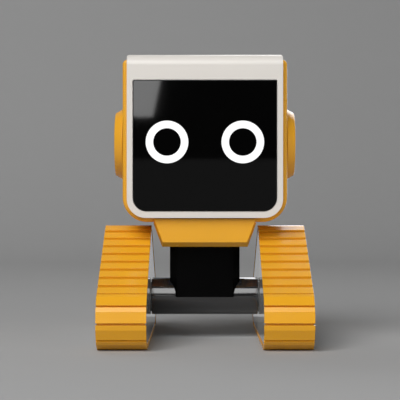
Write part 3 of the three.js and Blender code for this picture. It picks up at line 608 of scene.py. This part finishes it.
def brushed_steel_material():
    """Bare metal with fine lines along X."""
    material, tree, shader, where = blank("brushed_steel")
    colour = (0.50, 0.51, 0.52)
    base = mixed(tree, clouds(tree, where, CLOUD_SCALE), shade(colour, 0.95), shade(colour, 1.05))
    tree.links.new(base, shader.inputs["Base Color"])
    set_gloss(tree, where, 0.30)
    shader.inputs["Metallic"].default_value = 1.0
    mapping = add(tree, "ShaderNodeMapping", in_Vector=where, in_Scale=(0.08, 1.0, 1.0))
    lines = clouds(tree, mapping.outputs["Vector"], GRAIN_SCALE, detail=2.0)
    set_bump(tree, lines, strength=0.5, depth=0.00003)
    return material


def display_glass_material():
    """Black cover glass with faint smudges that dull its gloss."""
    material, tree, shader, where = blank("black_cover_glass")
    smudge = clouds(tree, where, scale=26.0, detail=5.0)
    tree.links.new(mixed(tree, smudge, (0.0002,) * 3, (0.0004,) * 3), shader.inputs["Base Color"])
    tree.links.new(ranged(tree, smudge, 0.025, 0.035, start=0.35, end=0.7), shader.inputs["Roughness"])
    set_bump(tree, clouds(tree, where, scale=9.0, detail=1.0), strength=0.3, depth=0.00004)
    return material


def eye_light_material():
    """A milky light guide, lit from behind through a fine diffuser."""
    material, tree, shader, where = blank("lit_diffuser")
    grain = clouds(tree, where, scale=700.0, detail=2.0)
    glow = mixed(tree, grain, (0.96, 0.97, 0.98), (1.0, 1.0, 1.0))
    tree.links.new(glow, shader.inputs["Emission Color"])
    tree.links.new(mixed(tree, grain, (0.10,) * 3, (0.14,) * 3), shader.inputs["Base Color"])
    shader.inputs["Emission Strength"].default_value = 0.95
    tree.links.new(ranged(tree, grain, 0.35, 0.5), shader.inputs["Roughness"])
    return material


def circuit_board_material():
    """Green solder mask over copper tracks."""
    material, tree, shader, where = blank("circuit_board")
    tracks = add(tree, "ShaderNodeTexBrick", in_Vector=where, in_Scale=180.0)
    tracks.inputs["Color1"].default_value = (0.010, 0.12, 0.045, 1)
    tracks.inputs["Color2"].default_value = (0.016, 0.17, 0.06, 1)
    tracks.inputs["Mortar"].default_value = (0.03, 0.28, 0.10, 1)
    tree.links.new(tracks.outputs["Color"], shader.inputs["Base Color"])
    set_gloss(tree, where, 0.4)
    set_bump(tree, clouds(tree, where, GRAIN_SCALE, detail=2.0), GRAIN_STRENGTH, GRAIN_DEPTH)
    return material


ORANGE = moulded("orange_shell_plastic", (0.80, 0.385, 0.026), 0.24, grain_depth=0.000005,
                 spread=0.04, wear=0.04)
RUBBER = moulded("orange_track_rubber", (0.80, 0.378, 0.018), 0.22, grain=1500.0, grain_depth=0.000003,
                 spread=0.03)
WHITE = moulded("warm_white_plastic", (0.70, 0.665, 0.62), 0.30, mottle=0.015, grain_depth=0.000005,
                spread=0.02)
GREY = moulded("light_grey_plastic", (0.50, 0.51, 0.50), 0.06, grain_depth=0.000002, spread=0.02)
BLACK = moulded("black_plastic", (0.0016, 0.0016, 0.0017), 0.20, mottle=0.2, specular=0.05)
TUBE = moulded("black_lacquered_tube", (0.018, 0.018, 0.019), 0.10, mottle=0.15, grain_depth=0.000003,
               spread=0.03, ior=1.9)
GLASS = display_glass_material()
EYES = eye_light_material()
DARK = moulded("charcoal_plastic", (0.022, 0.024, 0.027), 0.45, mottle=0.1)
NYLON = moulded("natural_nylon", (0.72, 0.70, 0.62), 0.45, mottle=0.05)
STEEL = brushed_steel_material()
BOARD = circuit_board_material()
WRAP = moulded("cell_wrap", (0.03, 0.11, 0.36), 0.28, mottle=0.06)

# ---------------------------------------------------------------- belts


def belt_stretches():
    """The belt's straight and bent stretches in order. The last is the bend round the front wheel."""
    turns = [
        (FRONT_WHEEL, REAR_WHEEL, -QUARTER, SLOPE_NORMAL),
        (REAR_WHEEL, TOP_WHEEL, SLOPE_NORMAL, math.pi - SLOPE_NORMAL),
        (TOP_WHEEL, FRONT_WHEEL, math.pi - SLOPE_NORMAL, 3 * QUARTER),
    ]
    stretches = []
    for start, end, normal, last in turns:
        stretches.append({"from": start, "to": end, "normal": normal, "length": (end - start).length})
        stretches.append({"centre": end, "start": normal, "length": BELT_PITCH_RADIUS * (last - normal)})
    return stretches


STRETCHES = belt_stretches()
BELT_LENGTH = sum(stretch["length"] for stretch in STRETCHES)
LUG_PITCH = BELT_LENGTH / LUG_COUNT


def belt_place(distance):
    """The line of centres' point in (Y, Z) and the outward direction, at a distance along the belt."""
    along = distance % BELT_LENGTH
    for stretch in STRETCHES:
        if along <= stretch["length"]:
            break
        along -= stretch["length"]
    if "centre" in stretch:
        angle = stretch["start"] + along / BELT_PITCH_RADIUS
        base = stretch["centre"]
    else:
        angle = stretch["normal"]
        base = stretch["from"].lerp(stretch["to"], along / stretch["length"])
    return base, Vector((math.cos(angle), math.sin(angle)))


def belt_profile():
    """One pitch of the belt from the side: distances along it, with heights above the groove floor."""
    start = GROOVE_LENGTH / 2
    end = LUG_PITCH - start
    corners = [
        (0.0, 0.0),
        (start, 0.0),
        (start, LUG_HEIGHT - RAMP_DROP),
        (start + RAMP_LENGTH, LUG_HEIGHT),
        (end, LUG_HEIGHT),
        (end, 0.0),
        (LUG_PITCH, 0.0),
    ]
    return [Vector(point) for point in rounded(corners, LUG_EDGE, is_open=True)]


def belt_point(distance, height):
    """The point in (Y, Z) at a distance along the belt and a height above its groove floor."""
    base, outward = belt_place(distance)
    return base + outward * (BELT_RADIUS - LUG_HEIGHT + height)


def belt_stations():
    """Distances along the belt with its outer radius there. Lugs stay straight where the belt bends."""
    front_bend = STRETCHES[-1]
    bend_start = BELT_LENGTH - front_bend["length"]
    first = bend_start + BELT_PITCH_RADIUS * (GROOVE_ANGLE - front_bend["start"])
    slack = 0.01  # so that even a stretch without length gets one section
    flat_start = GROOVE_LENGTH / 2 + RAMP_LENGTH
    flat_end = LUG_PITCH - GROOVE_LENGTH / 2
    profile = belt_profile()
    stations = []
    for lug in range(LUG_COUNT):
        start = first + lug * LUG_PITCH
        flat_near = belt_point(start + flat_start, LUG_HEIGHT)
        flat = belt_point(start + flat_end, LUG_HEIGHT) - flat_near
        up = Vector((flat.y, -flat.x)).normalized()
        corners = []
        for along, height in profile:
            if height > LUG_UNDERCUT:
                share = (along - flat_start) / (flat_end - flat_start)
                point = flat_near + flat * share + up * (height - LUG_HEIGHT)
            else:
                point = belt_point(start + along, height)
            corners.append((start + along, point))
        for (near, near_point), (far, far_point) in zip(corners, corners[1:]):
            parts = math.ceil((far - near) / STATION_SPACING + slack)
            for k in range(parts):
                distance = near + (far - near) * k / parts
                base, outward = belt_place(distance)
                point = near_point.lerp(far_point, k / parts)
                stations.append((distance, (point - base).dot(outward)))
    return stations


def belt_ring(distance, top):
    """One section across the belt: a rebated band, and a lug where its top is above the undercut."""
    base, outward = belt_place(distance)
    under = min(BELT_RADIUS - LUG_HEIGHT + LUG_UNDERCUT, top)
    band = BELT_HALF - REBATE_WIDTH
    shoulder = BELT_HALF - LUG_OVERHANG
    reach = BELT_HALF if top > under else shoulder
    edge = min(LUG_EDGE, (top - under) / 2)
    half = [
        (band, BELT_INNER_RADIUS),
        (band, REBATE_RADIUS),
        (shoulder, REBATE_RADIUS),
        (shoulder, under),
        (reach, under),
        *arc((reach - edge, top - edge), edge, 0, QUARTER, 4),
        (reach / 2, top),
    ]
    section = half + [(-x, radius) for x, radius in reversed(half)]
    return [(BELT_X + x, *(base + outward * radius)) for x, radius in section]


def track_belt():
    return skin([belt_ring(distance, top) for distance, top in belt_stations()], closed=True)


# ---------------------------------------------------------------- track plates and caps


def from_middle(x):
    """A distance outwards from the right track's middle."""
    return BELT_X + x


def inner_side_plate():
    face = from_middle(-PLATE_FACE)
    back = PLATE_FACE - INNER_PLUG_DEPTH
    plate = prism(loop(PLATE_RADIUS), face, from_middle(PLATE_SKIN - PLATE_FACE), ALONG_X)
    plug = prism(loop(PLUG_RADIUS), from_middle(PLUG_SETBACK - PLATE_FACE), from_middle(-back), ALONG_X)
    on_tube = (0.0, TUBE_Z)
    collar_start = from_middle(-PLATE_FACE - COLLAR_LENGTH)
    collar = rod(COLLAR_RADIUS, collar_start, from_middle(COLLAR_ROOT - PLATE_FACE), ALONG_X, on_tube)
    collar_bore = rod(COLLAR_BORE_RADIUS, collar_start - CLEAR, face, ALONG_X, on_tube)
    hole_end = from_middle(CLEAR - back)
    shaft_hole = rod(SHAFT_HOLE_RADIUS, collar_start - CLEAR, hole_end, ALONG_X, (0.0, GEAR_Z))
    return cut(join(plate, plug, collar), collar_bore, shaft_hole)


def outer_side_plate():
    face = from_middle(PLATE_FACE)
    back = from_middle(PLATE_FACE - OUTER_PLUG_DEPTH)
    plate = prism(loop(PLATE_RADIUS), face - PLATE_SKIN, face, ALONG_X)
    plug = prism(loop(PLUG_RADIUS), back, face - PLUG_SETBACK, ALONG_X)
    recesses = [
        rod(HUB_CAP_RADIUS + GAP, face - HUB_RECESS, face + CLEAR, ALONG_X, centre)
        for centre in WHEELS.values()
    ]
    dish = prism(rounded(DISH_CORNERS, DISH_ROUNDING, 8), face - DISH_DEPTH, face + CLEAR, ALONG_X)
    return cut(join(plate, plug), dish, *recesses)


def hub_cap(centre):
    seat = from_middle(PLATE_FACE - HUB_RECESS + GAP)
    profile = [
        (0, seat - HUB_STEM_LENGTH),
        (HUB_STEM_RADIUS, seat - HUB_STEM_LENGTH),
        (HUB_STEM_RADIUS, seat),
        (HUB_CAP_RADIUS, seat),
        (HUB_CAP_RADIUS, seat + HUB_WALL),
        (HUB_CAP_RADIUS - HUB_BEVEL, seat + HUB_TOP),
        (HUB_DIMPLE_RADII[0], seat + HUB_TOP),
        (HUB_DIMPLE_RADII[1], seat + HUB_DIMPLE_FLOOR),
        (0, seat + HUB_DIMPLE_FLOOR),
    ]
    return turned(rounded(profile, HUB_ROUNDING, 3), ALONG_X, centre)


def make_tracks():
    belt_looks = (RUBBER, "chassis", "orange_rubber")
    plate_looks = (GREY, "chassis", "grey_panel")
    cap_looks = (ORANGE, "chassis", "orange_plastic")
    makers = [
        ("track_belt", track_belt, belt_looks, 0.0),
        ("inner_side_plate", inner_side_plate, plate_looks, PLATE_EDGE),
        ("outer_side_plate", outer_side_plate, plate_looks, PLATE_EDGE),
    ]
    for place, centre in WHEELS.items():
        makers.append((f"{place}_hub_cap", lambda c=centre: hub_cap(c), cap_looks, 0.0))
    for name, make, looks, bevel in makers:
        piece(f"right_{name}", make(), *looks, bevel)
        piece(f"left_{name}", mirrored(make()), *looks, bevel)


# ---------------------------------------------------------------- chassis


def axle_housing():
    half = tube_high.x
    bore = TUBE_RADIUS - TUBE_WALL
    profile = [(bore, -half), (TUBE_RADIUS, -half), (TUBE_RADIUS, half), (bore, half)]
    tube = turned(rounded(profile, TUBE_END_ROUNDING), ALONG_X, (0.0, TUBE_Z), 128)
    return cut(tube, prism(circle((0, 0), WIRE_HOLE_RADIUS), TUBE_Z, TUBE_Z + WIRE_HOLE_REACH, ALONG_Z))


def neck_form(inset, floor):
    """A block with cut corners, and a top rounded about the tilt axis."""
    w = neck_high.x - inset
    d = -neck_low.y - inset
    cx, cy = NECK_CHAMFER
    plan = [
        (cx - w, -d),
        (w - cx, -d),
        (w, cy - d),
        (w, d - cy),
        (w - cx, d),
        (cx - w, d),
        (-w, d - cy),
        (-w, cy - d),
    ]
    side = [(-d, floor), (d, floor), *arc((0.0, TILT_Z), d, 0, math.pi, 48)]
    column = prism(plan, floor, TILT_Z + d + CLEAR, ALONG_Z)
    return common(column, prism(side, -w - CLEAR, w + CLEAR, ALONG_X))


def neck_front_cover():
    reach = neck_high.x + CLEAR
    room = neck_form(NECK_WALL, TUBE_Z + TUBE_RADIUS + NECK_WALL)
    saddle = rod(TUBE_RADIUS + GAP, -reach, reach, ALONG_X, (0.0, TUBE_Z), 96)
    pivots = rod(PIVOT_HOLE_RADIUS, -reach, reach, ALONG_X, (0.0, TILT_Z))
    wires = prism(circle((0, 0), WIRE_HOLE_RADIUS), TUBE_Z, TILT_Z - WIRE_HOLE_REACH, ALONG_Z)
    other_half = block((-PAST_NECK[0], -GAP / 2, 0), PAST_NECK)
    return cut(neck_form(0.0, TUBE_Z), room, saddle, pivots, wires, other_half)


def neck_rear_cover():
    mesh = neck_front_cover()
    bmesh.ops.scale(mesh, vec=(-1, -1, 1), verts=mesh.verts)
    return mesh


def make_chassis():
    piece("axle_housing", axle_housing(), TUBE, "chassis", "black_plastic")
    piece("neck_front_cover", neck_front_cover(), BLACK, "chassis", "black_plastic", NECK_EDGE)
    piece("neck_rear_cover", neck_rear_cover(), BLACK, "chassis", "black_plastic", NECK_EDGE)


# ---------------------------------------------------------------- head


def on_y(outline, y):
    return [(x, y, z) for x, z in outline]


def shell_outline(inset):
    return upright(shell_high.x, shell_low.z, shell_high.z, SHELL_RADII, inset)


def face_outline(inset):
    return upright(frame_high.x, frame_low.z, frame_high.z, FACE_RADII, inset)


def glass_outline(inset):
    return upright(glass_high.x, glass_low.z, glass_high.z, GLASS_RADII, inset)


def screw_places():
    return [(x, z) for x in (-SCREW_X, SCREW_X) for z in SCREW_HEIGHTS.values()]


def brow_arc(y, start, end):
    """The roll of the head's top edge about a line at y."""
    return arc((y, frame_high.z - BROW_RADIUS), BROW_RADIUS, start, end, 24)


def head_shell():
    """A tray that is open behind, with soft front and rear edges and a window behind the display."""
    front, back = shell_low.y, shell_high.y
    window = upright(WINDOW_HALF, *WINDOW_HEIGHTS, WINDOW_RADII)
    edge = quarter_edge(SHELL_EDGE, 6)
    rings = [on_y(window, front)]
    rings += [on_y(shell_outline(inset), front + depth) for inset, depth in edge]
    rings += [on_y(shell_outline(inset), back - depth) for inset, depth in reversed(edge)][:-1]
    rings.append(on_y(shell_outline(SHELL_WALL - SHELL_RIM), back))
    rings.append(on_y(shell_outline(SHELL_WALL), back - SHELL_RIM))
    rings.append(on_y(shell_outline(SHELL_WALL), front + SHELL_WALL))
    rings.append(on_y(window, front + SHELL_WALL))
    tray = skin(rings, closed=True)
    x, y = SHELL_OPENING
    floor = shell_low.z
    neck_opening = block((-x, -y, floor - CLEAR), (x, y, floor + SHELL_OPENING_HEIGHT))
    ear_holes = rod(EAR_HOLE_RADIUS, -FAR, FAR, ALONG_X, (0.0, EAR_Z))
    bosses = []
    for centre in screw_places():
        post = rod(BOSS_RADIUS, BOSS_START, back - GAP, ALONG_Y, centre, 32)
        hole = rod(SCREW_HOLE_RADIUS, BOSS_HOLE_START, back + CLEAR, ALONG_Y, centre, 24)
        bosses.append(cut(post, hole))
    return join(cut(tray, neck_opening, ear_holes), *bosses)


def front_frame():
    """The white frame, which rolls over the brow and covers the top of the head."""
    back = frame_high.y
    shoulder_y = shell_low.y - GAP
    shoulder_z = shell_high.z + GAP
    bottom = frame_low.z - CLEAR
    body = prism(face_outline(0.0), FACE_Y, back, ALONG_Y)
    side = [
        (FACE_Y, bottom),
        *brow_arc(FACE_Y + BROW_RADIUS, math.pi, QUARTER),
        (back + CLEAR, frame_high.z),
        (back + CLEAR, shoulder_z),
        (shoulder_y, shoulder_z),
        (shoulder_y, bottom),
    ]
    frame_body = common(body, prism(side, -FAR, FAR, ALONG_X))
    lip_front = glass_high.y + GAP
    pocket = prism(glass_outline(-GAP), FACE_Y - CLEAR, lip_front, ALONG_Y)
    view = prism(glass_outline(LIP_WIDTH), FACE_Y - CLEAR, 0, ALONG_Y)
    rear_pocket = prism(glass_outline(-GAP), FACE_Y + LIP_BACK, 0, ALONG_Y)
    return cut(frame_body, pocket, view, rear_pocket)


def display_glass():
    """The lens, with a groove for each eye ring."""
    front = glass_low.y
    rings = [on_y(glass_outline(inset), front + depth) for inset, depth in quarter_edge(GLASS_EDGE, 4)]
    rings.append(on_y(glass_outline(0.0), glass_high.y))
    inner, outer = EYE_INNER_RADIUS - GAP, EYE_RADIUS + GAP
    floor = front + EYE_GROOVE_DEPTH
    groove = [(inner, front - CLEAR), (outer, front - CLEAR), (outer, floor), (inner, floor)]
    grooves = [turned(groove, ALONG_Y, (x, EYE_Z), 128) for x in (-EYE_X, EYE_X)]
    return cut(skin(rings), *grooves)


def eye_ring(x):
    front, back = eye_low.y, eye_high.y
    inner, outer = EYE_INNER_RADIUS, EYE_RADIUS
    profile = [(inner, front), (outer, front), (outer, back), (inner, back)]
    return turned(rounded(profile, EYE_ROUNDING, 3), ALONG_Y, (x, EYE_Z), 128)


def rear_cover():
    """The white cover behind, with sunken screws, a button, a USB slot and a row of vents."""
    bottom = frame_low.z - CLEAR
    body = prism(face_outline(0.0), rear_low.y, BACK_Y, ALONG_Y)
    side = [
        (rear_low.y - CLEAR, bottom),
        (BACK_Y, bottom),
        *brow_arc(BACK_Y - BROW_RADIUS, 0, QUARTER),
        (BEFORE_REAR, frame_high.z),
        (BEFORE_REAR, bottom),
    ]
    plate = common(body, prism(side, -FAR, FAR, ALONG_X))
    room = upright(REAR_ROOM_HALF, *REAR_ROOM_HEIGHTS, REAR_ROOM_RADII)
    tools = [prism(room, 0, BACK_Y - REAR_SKIN, ALONG_Y)]
    for centre in screw_places():
        tools.append(rod(SCREW_HOLE_RADIUS, 0, FAR, ALONG_Y, centre, 24))
        tools.append(rod(HEAD_HOLE_RADIUS, BACK_Y - HEAD_HOLE_DEPTH, FAR, ALONG_Y, centre, 48))
    tools.append(rod(BUTTON_HOLE_RADIUS, 0, FAR, ALONG_Y, (BUTTON_X, BUTTON_Z), 64))
    tools.append(prism(slot_outline(USB_Z, USB_SLOT_HALVES, USB_SLOT_ROUNDING, 8), 0, FAR, ALONG_Y))
    for i in range(VENT_COUNT):
        vent = slot_outline(VENT_LOWEST + VENT_SPACING * i, VENT_HALVES, VENT_ROUNDING, 6)
        tools.append(prism(vent, VENT_START, FAR, ALONG_Y))
    return cut(plate, *tools)


def chin_cover():
    """The lower cover, which narrows downwards and is open where the neck passes through."""
    floor, lip = chin_low.z, chin_high.z
    spread = (chin_high.x - CHIN_FLOOR_HALF) / (lip - floor)
    shoulder = chin_low.y + CHIN_SHOULDER

    def outline(side_inset, floor_inset, top=lip):
        low = floor + floor_inset
        wide = [CHIN_FLOOR_HALF + (z - floor) * spread - side_inset for z in (low, top)]
        return [(-wide[0], low), (wide[0], low), (wide[1], top), (-wide[1], top)]

    stations = [
        (chin_low.y, CHIN_INSETS),
        (shoulder, (0, 0)),
        (-shoulder, (0, 0)),
        (-chin_low.y, CHIN_INSETS),
    ]
    outside = skin([on_y(outline(*insets), y) for y, insets in stations])
    shelf = block((-FAR, chin_low.y + CHIN_LIP_DEPTH, shell_low.z - GAP), (FAR, FAR, CHIN_SHELF_TOP))
    room_start = shoulder + CHIN_ROOM_SETBACK
    room = prism(outline(CHIN_WALL, CHIN_WALL, CHIN_ROOM_TOP), room_start, -room_start, ALONG_Y)
    x, y = CHIN_OPENING
    neck_opening = block((-x, -y, floor - CLEAR), (x, y, floor + CHIN_WALL + CLEAR))
    return cut(outside, shelf, room, neck_opening)


def ear_cover():
    """A round cover with a sunken middle and sound holes, on a spigot that enters the head shell."""
    face = ear_high.x
    seat = shell_high.x + GAP
    spigot_bore = EAR_SPIGOT_RADIUS - EAR_SPIGOT_WALL
    profile = [
        (0, face - EAR_DISH_DEPTH),
        (EAR_DISH_RADII[0], face - EAR_DISH_DEPTH),
        (EAR_DISH_RADII[1], face),
        (EAR_RIM_RADII[0], face),
        (EAR_RIM_RADII[1], face - EAR_BEVEL),
        (EAR_RADIUS, seat),
        (EAR_SPIGOT_RADIUS, seat),
        (EAR_SPIGOT_RADIUS, ear_low.x),
        (spigot_bore, ear_low.x),
        (spigot_bore, face - EAR_SKIN),
        (0, face - EAR_SKIN),
    ]
    cover = turned(rounded(profile, EAR_ROUNDING, 4), ALONG_X, (0.0, EAR_Z), 128)
    holes = []
    for radius, count in SOUND_HOLE_RINGS:
        for i in range(count):
            angle = 2 * math.pi * i / count
            centre = (radius * math.cos(angle), EAR_Z + radius * math.sin(angle))
            holes.append(rod(SOUND_HOLE_RADIUS, SOUND_HOLE_START, FAR, ALONG_X, centre, 32))
    return cut(cover, *holes)


def rear_screw(x, z):
    """A screw with a bevelled head and a cross in it."""
    head = BACK_Y - SCREW_HEAD_SINK
    side_top, top = (head + height for height in SCREW_HEAD_HEIGHTS)
    profile = [
        (0, SCREW_TIP_Y),
        (SCREW_SHANK_RADIUS, SCREW_TIP_Y),
        (SCREW_SHANK_RADIUS, head),
        (SCREW_HEAD_RADII[0], head),
        (SCREW_HEAD_RADII[0], side_top),
        (SCREW_HEAD_RADII[1], top),
        (0, top),
    ]
    screw = turned(rounded(profile, SCREW_ROUNDING, 3), ALONG_Y, (x, z), 64)
    arms = [
        block((x - wide, head + CROSS_FLOOR, z - tall), (x + wide, head + CROSS_TOP, z + tall))
        for wide, tall in (CROSS_HALVES, reversed(CROSS_HALVES))
    ]
    return cut(screw, join(*arms))


def power_button():
    """A button with a dished cap, a flange behind the rear cover and a short rod."""
    back = BACK_Y - REAR_SKIN - GAP
    top = button_high.y
    flange_start = back - BUTTON_FLANGE
    rod_start = back - BUTTON_ROD_LENGTH
    profile = [
        (0, rod_start),
        (BUTTON_RADII["rod"], rod_start),
        (BUTTON_RADII["rod"], flange_start),
        (BUTTON_RADII["flange"], flange_start),
        (BUTTON_RADII["flange"], back),
        (BUTTON_RADII["cap"], back),
        (BUTTON_RADII["cap"], top - BUTTON_BEVEL),
        (BUTTON_RADII["rim"], top),
        (BUTTON_RADII["dish"], top),
        (0, top - BUTTON_DISH_DEPTH),
    ]
    return turned(rounded(profile, BUTTON_ROUNDING, 4), ALONG_Y, (BUTTON_X, BUTTON_Z), 96)


def usb_port():
    """A socket's steel shell, closed behind, with the tongue in it."""
    start = usb_low.y
    tall = (usb_high.z - usb_low.z) / 2
    size = (usb_high.x, USB_Z - tall, USB_Z + tall, USB_RADII)
    outside = prism(upright(*size), start, usb_high.y, ALONG_Y)
    mouth = prism(upright(*size, USB_WALL), start + USB_BACK, FAR, ALONG_Y)
    x, z = TONGUE_HALVES
    tongue_end = usb_high.y - TONGUE_SETBACK
    tongue = block((-x, start + TONGUE_START, USB_Z - z), (x, tongue_end, USB_Z + z))
    return join(cut(outside, mouth), tongue)


def make_head():
    orange = (ORANGE, "head", "orange_plastic")
    white = (WHITE, "head", "white_plastic")
    steel = (STEEL, "head", "steel")
    piece("head_shell", head_shell(), *orange)
    piece("front_frame", front_frame(), *white, FRAME_EDGE)
    piece("display_glass", display_glass(), GLASS, "head", "black_glass")
    piece("rear_cover", rear_cover(), *white, REAR_EDGE)
    piece("chin_cover", chin_cover(), *orange, CHIN_EDGE)
    piece("usb_port", usb_port(), *steel, STEEL_EDGE)
    piece("power_button", power_button(), ORANGE, "power_button", "orange_plastic")
    for side, sign in (("left", -1), ("right", 1)):
        piece(f"{side}_eye_ring", eye_ring(sign * EYE_X), EYES, "head", "eye_light")
        ear = ear_cover() if sign > 0 else mirrored(ear_cover())
        piece(f"{side}_ear_cover", ear, *orange, EAR_EDGE)
        for height, z in SCREW_HEIGHTS.items():
            piece(f"{side}_{height}_rear_screw", rear_screw(sign * SCREW_X, z), *steel, STEEL_EDGE)


# ---------------------------------------------------------------- inner pieces that keep their CAD shape


def finish_inner_pieces():
    looks = {
        "display_module": DARK, "tilt_servo": DARK, "speaker": DARK, "idler": DARK,
        "tilt_bush": NYLON, "servo_horn": NYLON, "drive_sprocket": NYLON, "drive_gear": NYLON,
        "tilt_bracket": STEEL, "pivot_screw": STEEL, "drive_motor": STEEL, "axle": STEEL,
        "main_board": BOARD, "battery_pack": WRAP,
    }
    for name, node in frame["nodes"].items():
        if node.hide_render:
            continue
        material = next(look for ending, look in looks.items() if name.endswith(ending))
        node.data.materials.clear()
        node.data.materials.append(material)
        rounding = node.modifiers.new("edge_rounding", "BEVEL")
        rounding.width = 0.15 * MM
        rounding.segments = 2
        rounding.limit_method = "ANGLE"
        rounding.angle_limit = math.radians(40)


# ---------------------------------------------------------------- camera, floor and light


def make_camera():
    data = bpy.data.cameras.new("camera")
    data.lens = 124.7
    data.sensor_width = 36.0
    data.clip_end = 50.0
    camera = bpy.data.objects.new("camera", data)
    camera.location = (-0.0029, -0.850, 0.0841)
    camera.rotation_euler = (QUARTER, 0, 0)
    bpy.context.scene.collection.objects.link(camera)
    bpy.context.scene.camera = camera


def make_floor():
    """A plain floor that sweeps up into a backdrop."""
    half_width, front, back, sweep, top = 6.0, -5.0, 1.9, 0.9, 3.5
    bend = arc((back - sweep, sweep), sweep, -QUARTER, 0, 24)
    profile = [(front, 0.0), (0.0, 0.0), *bend, (back, top)]
    mesh = bmesh.new()
    rows = [[mesh.verts.new((x, y, z)) for y, z in profile] for x in (-half_width, half_width)]
    for i in range(len(profile) - 1):
        face = mesh.faces.new((rows[0][i], rows[1][i], rows[1][i + 1], rows[0][i + 1]))
        face.smooth = True
    floor = holder_of(mesh, "floor")
    looks = moulded("pale_floor", (0.40, 0.40, 0.40), 0.6, mottle=0.01, specular=0.0)
    floor.data.materials.append(looks)


TARGET = Vector((0.0, 0.0, 0.09))  # the point that the softboxes face, in metres
CARD_Y = -3.0


def softbox(name, azimuth, elevation, distance, size, radiance, shows_in="diffuse"):
    """A rectangular light that faces the robot. Azimuth 0 is before the face, and grows to the right."""
    data = bpy.data.lights.new(name, "AREA")
    data.shape = "RECTANGLE"
    data.size, data.size_y = size
    data.energy = radiance * math.pi * size[0] * size[1]
    lamp = bpy.data.objects.new(name, data)
    a, e = math.radians(azimuth), math.radians(elevation)
    towards = Vector((math.sin(a) * math.cos(e), -math.cos(a) * math.cos(e), math.sin(e)))
    lamp.location = TARGET + towards * distance
    lamp.rotation_euler = towards.to_track_quat("Z", "Y").to_euler()
    lamp.visible_camera = False
    lamp.visible_diffuse = shows_in == "diffuse"
    lamp.visible_glossy = shows_in == "gloss"
    bpy.context.scene.collection.objects.link(lamp)


def reflection_card(name, y, left, right, low, high, slant, strength):
    """A glowing card that only shows as a reflection. Its right edge can lean."""
    corners = [(left, low), (right, low), (right + slant * (high - low), high), (left, high)]
    mesh = bmesh.new()
    mesh.faces.new([mesh.verts.new((x, y, z)) for x, z in corners])
    card = holder_of(mesh, name)
    material = bpy.data.materials.new(name)
    material.use_nodes = True
    shader = material.node_tree.nodes["Principled BSDF"]
    shader.inputs["Base Color"].default_value = (0, 0, 0, 1)
    shader.inputs["Emission Color"].default_value = (1, 1, 1, 1)
    shader.inputs["Emission Strength"].default_value = strength
    card.data.materials.append(material)
    card.visible_camera = False
    card.visible_diffuse = False
    card.visible_shadow = False


def make_light():
    """Broad lights that only brighten, and others that only show as reflections in the glossy pieces."""
    world = bpy.data.worlds.new("studio")
    world.use_nodes = True
    world.node_tree.nodes["Background"].inputs["Color"].default_value = (0.03, 0.03, 0.03, 1)
    world.node_tree.nodes["Background"].inputs["Strength"].default_value = 1.0
    bpy.context.scene.world = world
    bpy.context.scene.view_settings.view_transform = "Standard"
    softbox("key", azimuth=-24, elevation=41, distance=2.6, size=(2.0, 2.0), radiance=5.6)
    softbox("right_fill", azimuth=42, elevation=6, distance=2.6, size=(1.6, 1.2), radiance=3.5)
    softbox("rear_fill", azimuth=205, elevation=35, distance=2.6, size=(1.6, 1.6), radiance=2.2)
    softbox("upper_reflection", azimuth=-20, elevation=35, distance=2.6, size=(2.1, 1.59), radiance=3.3,
            shows_in="gloss")
    softbox("rear_reflection", azimuth=156, elevation=22, distance=1.0, size=(0.77, 0.98), radiance=3.5,
            shows_in="gloss")
    reflection_card("display_patch", y=CARD_Y, left=-0.6, right=-0.1315, low=0.312, high=0.47,
                    slant=0.215, strength=4.1)
    reflection_card("display_low_glow", y=CARD_Y, left=-0.6, right=0.6, low=0.0, high=0.196,
                    slant=0.0, strength=0.15)
    reflection_card("panel_glow", y=0.15, left=-0.05, right=0.05, low=0.0, high=0.075,
                    slant=0.0, strength=0.39)


make_camera()
make_floor()
make_light()
make_tracks()
make_chassis()
make_head()
finish_inner_pieces()
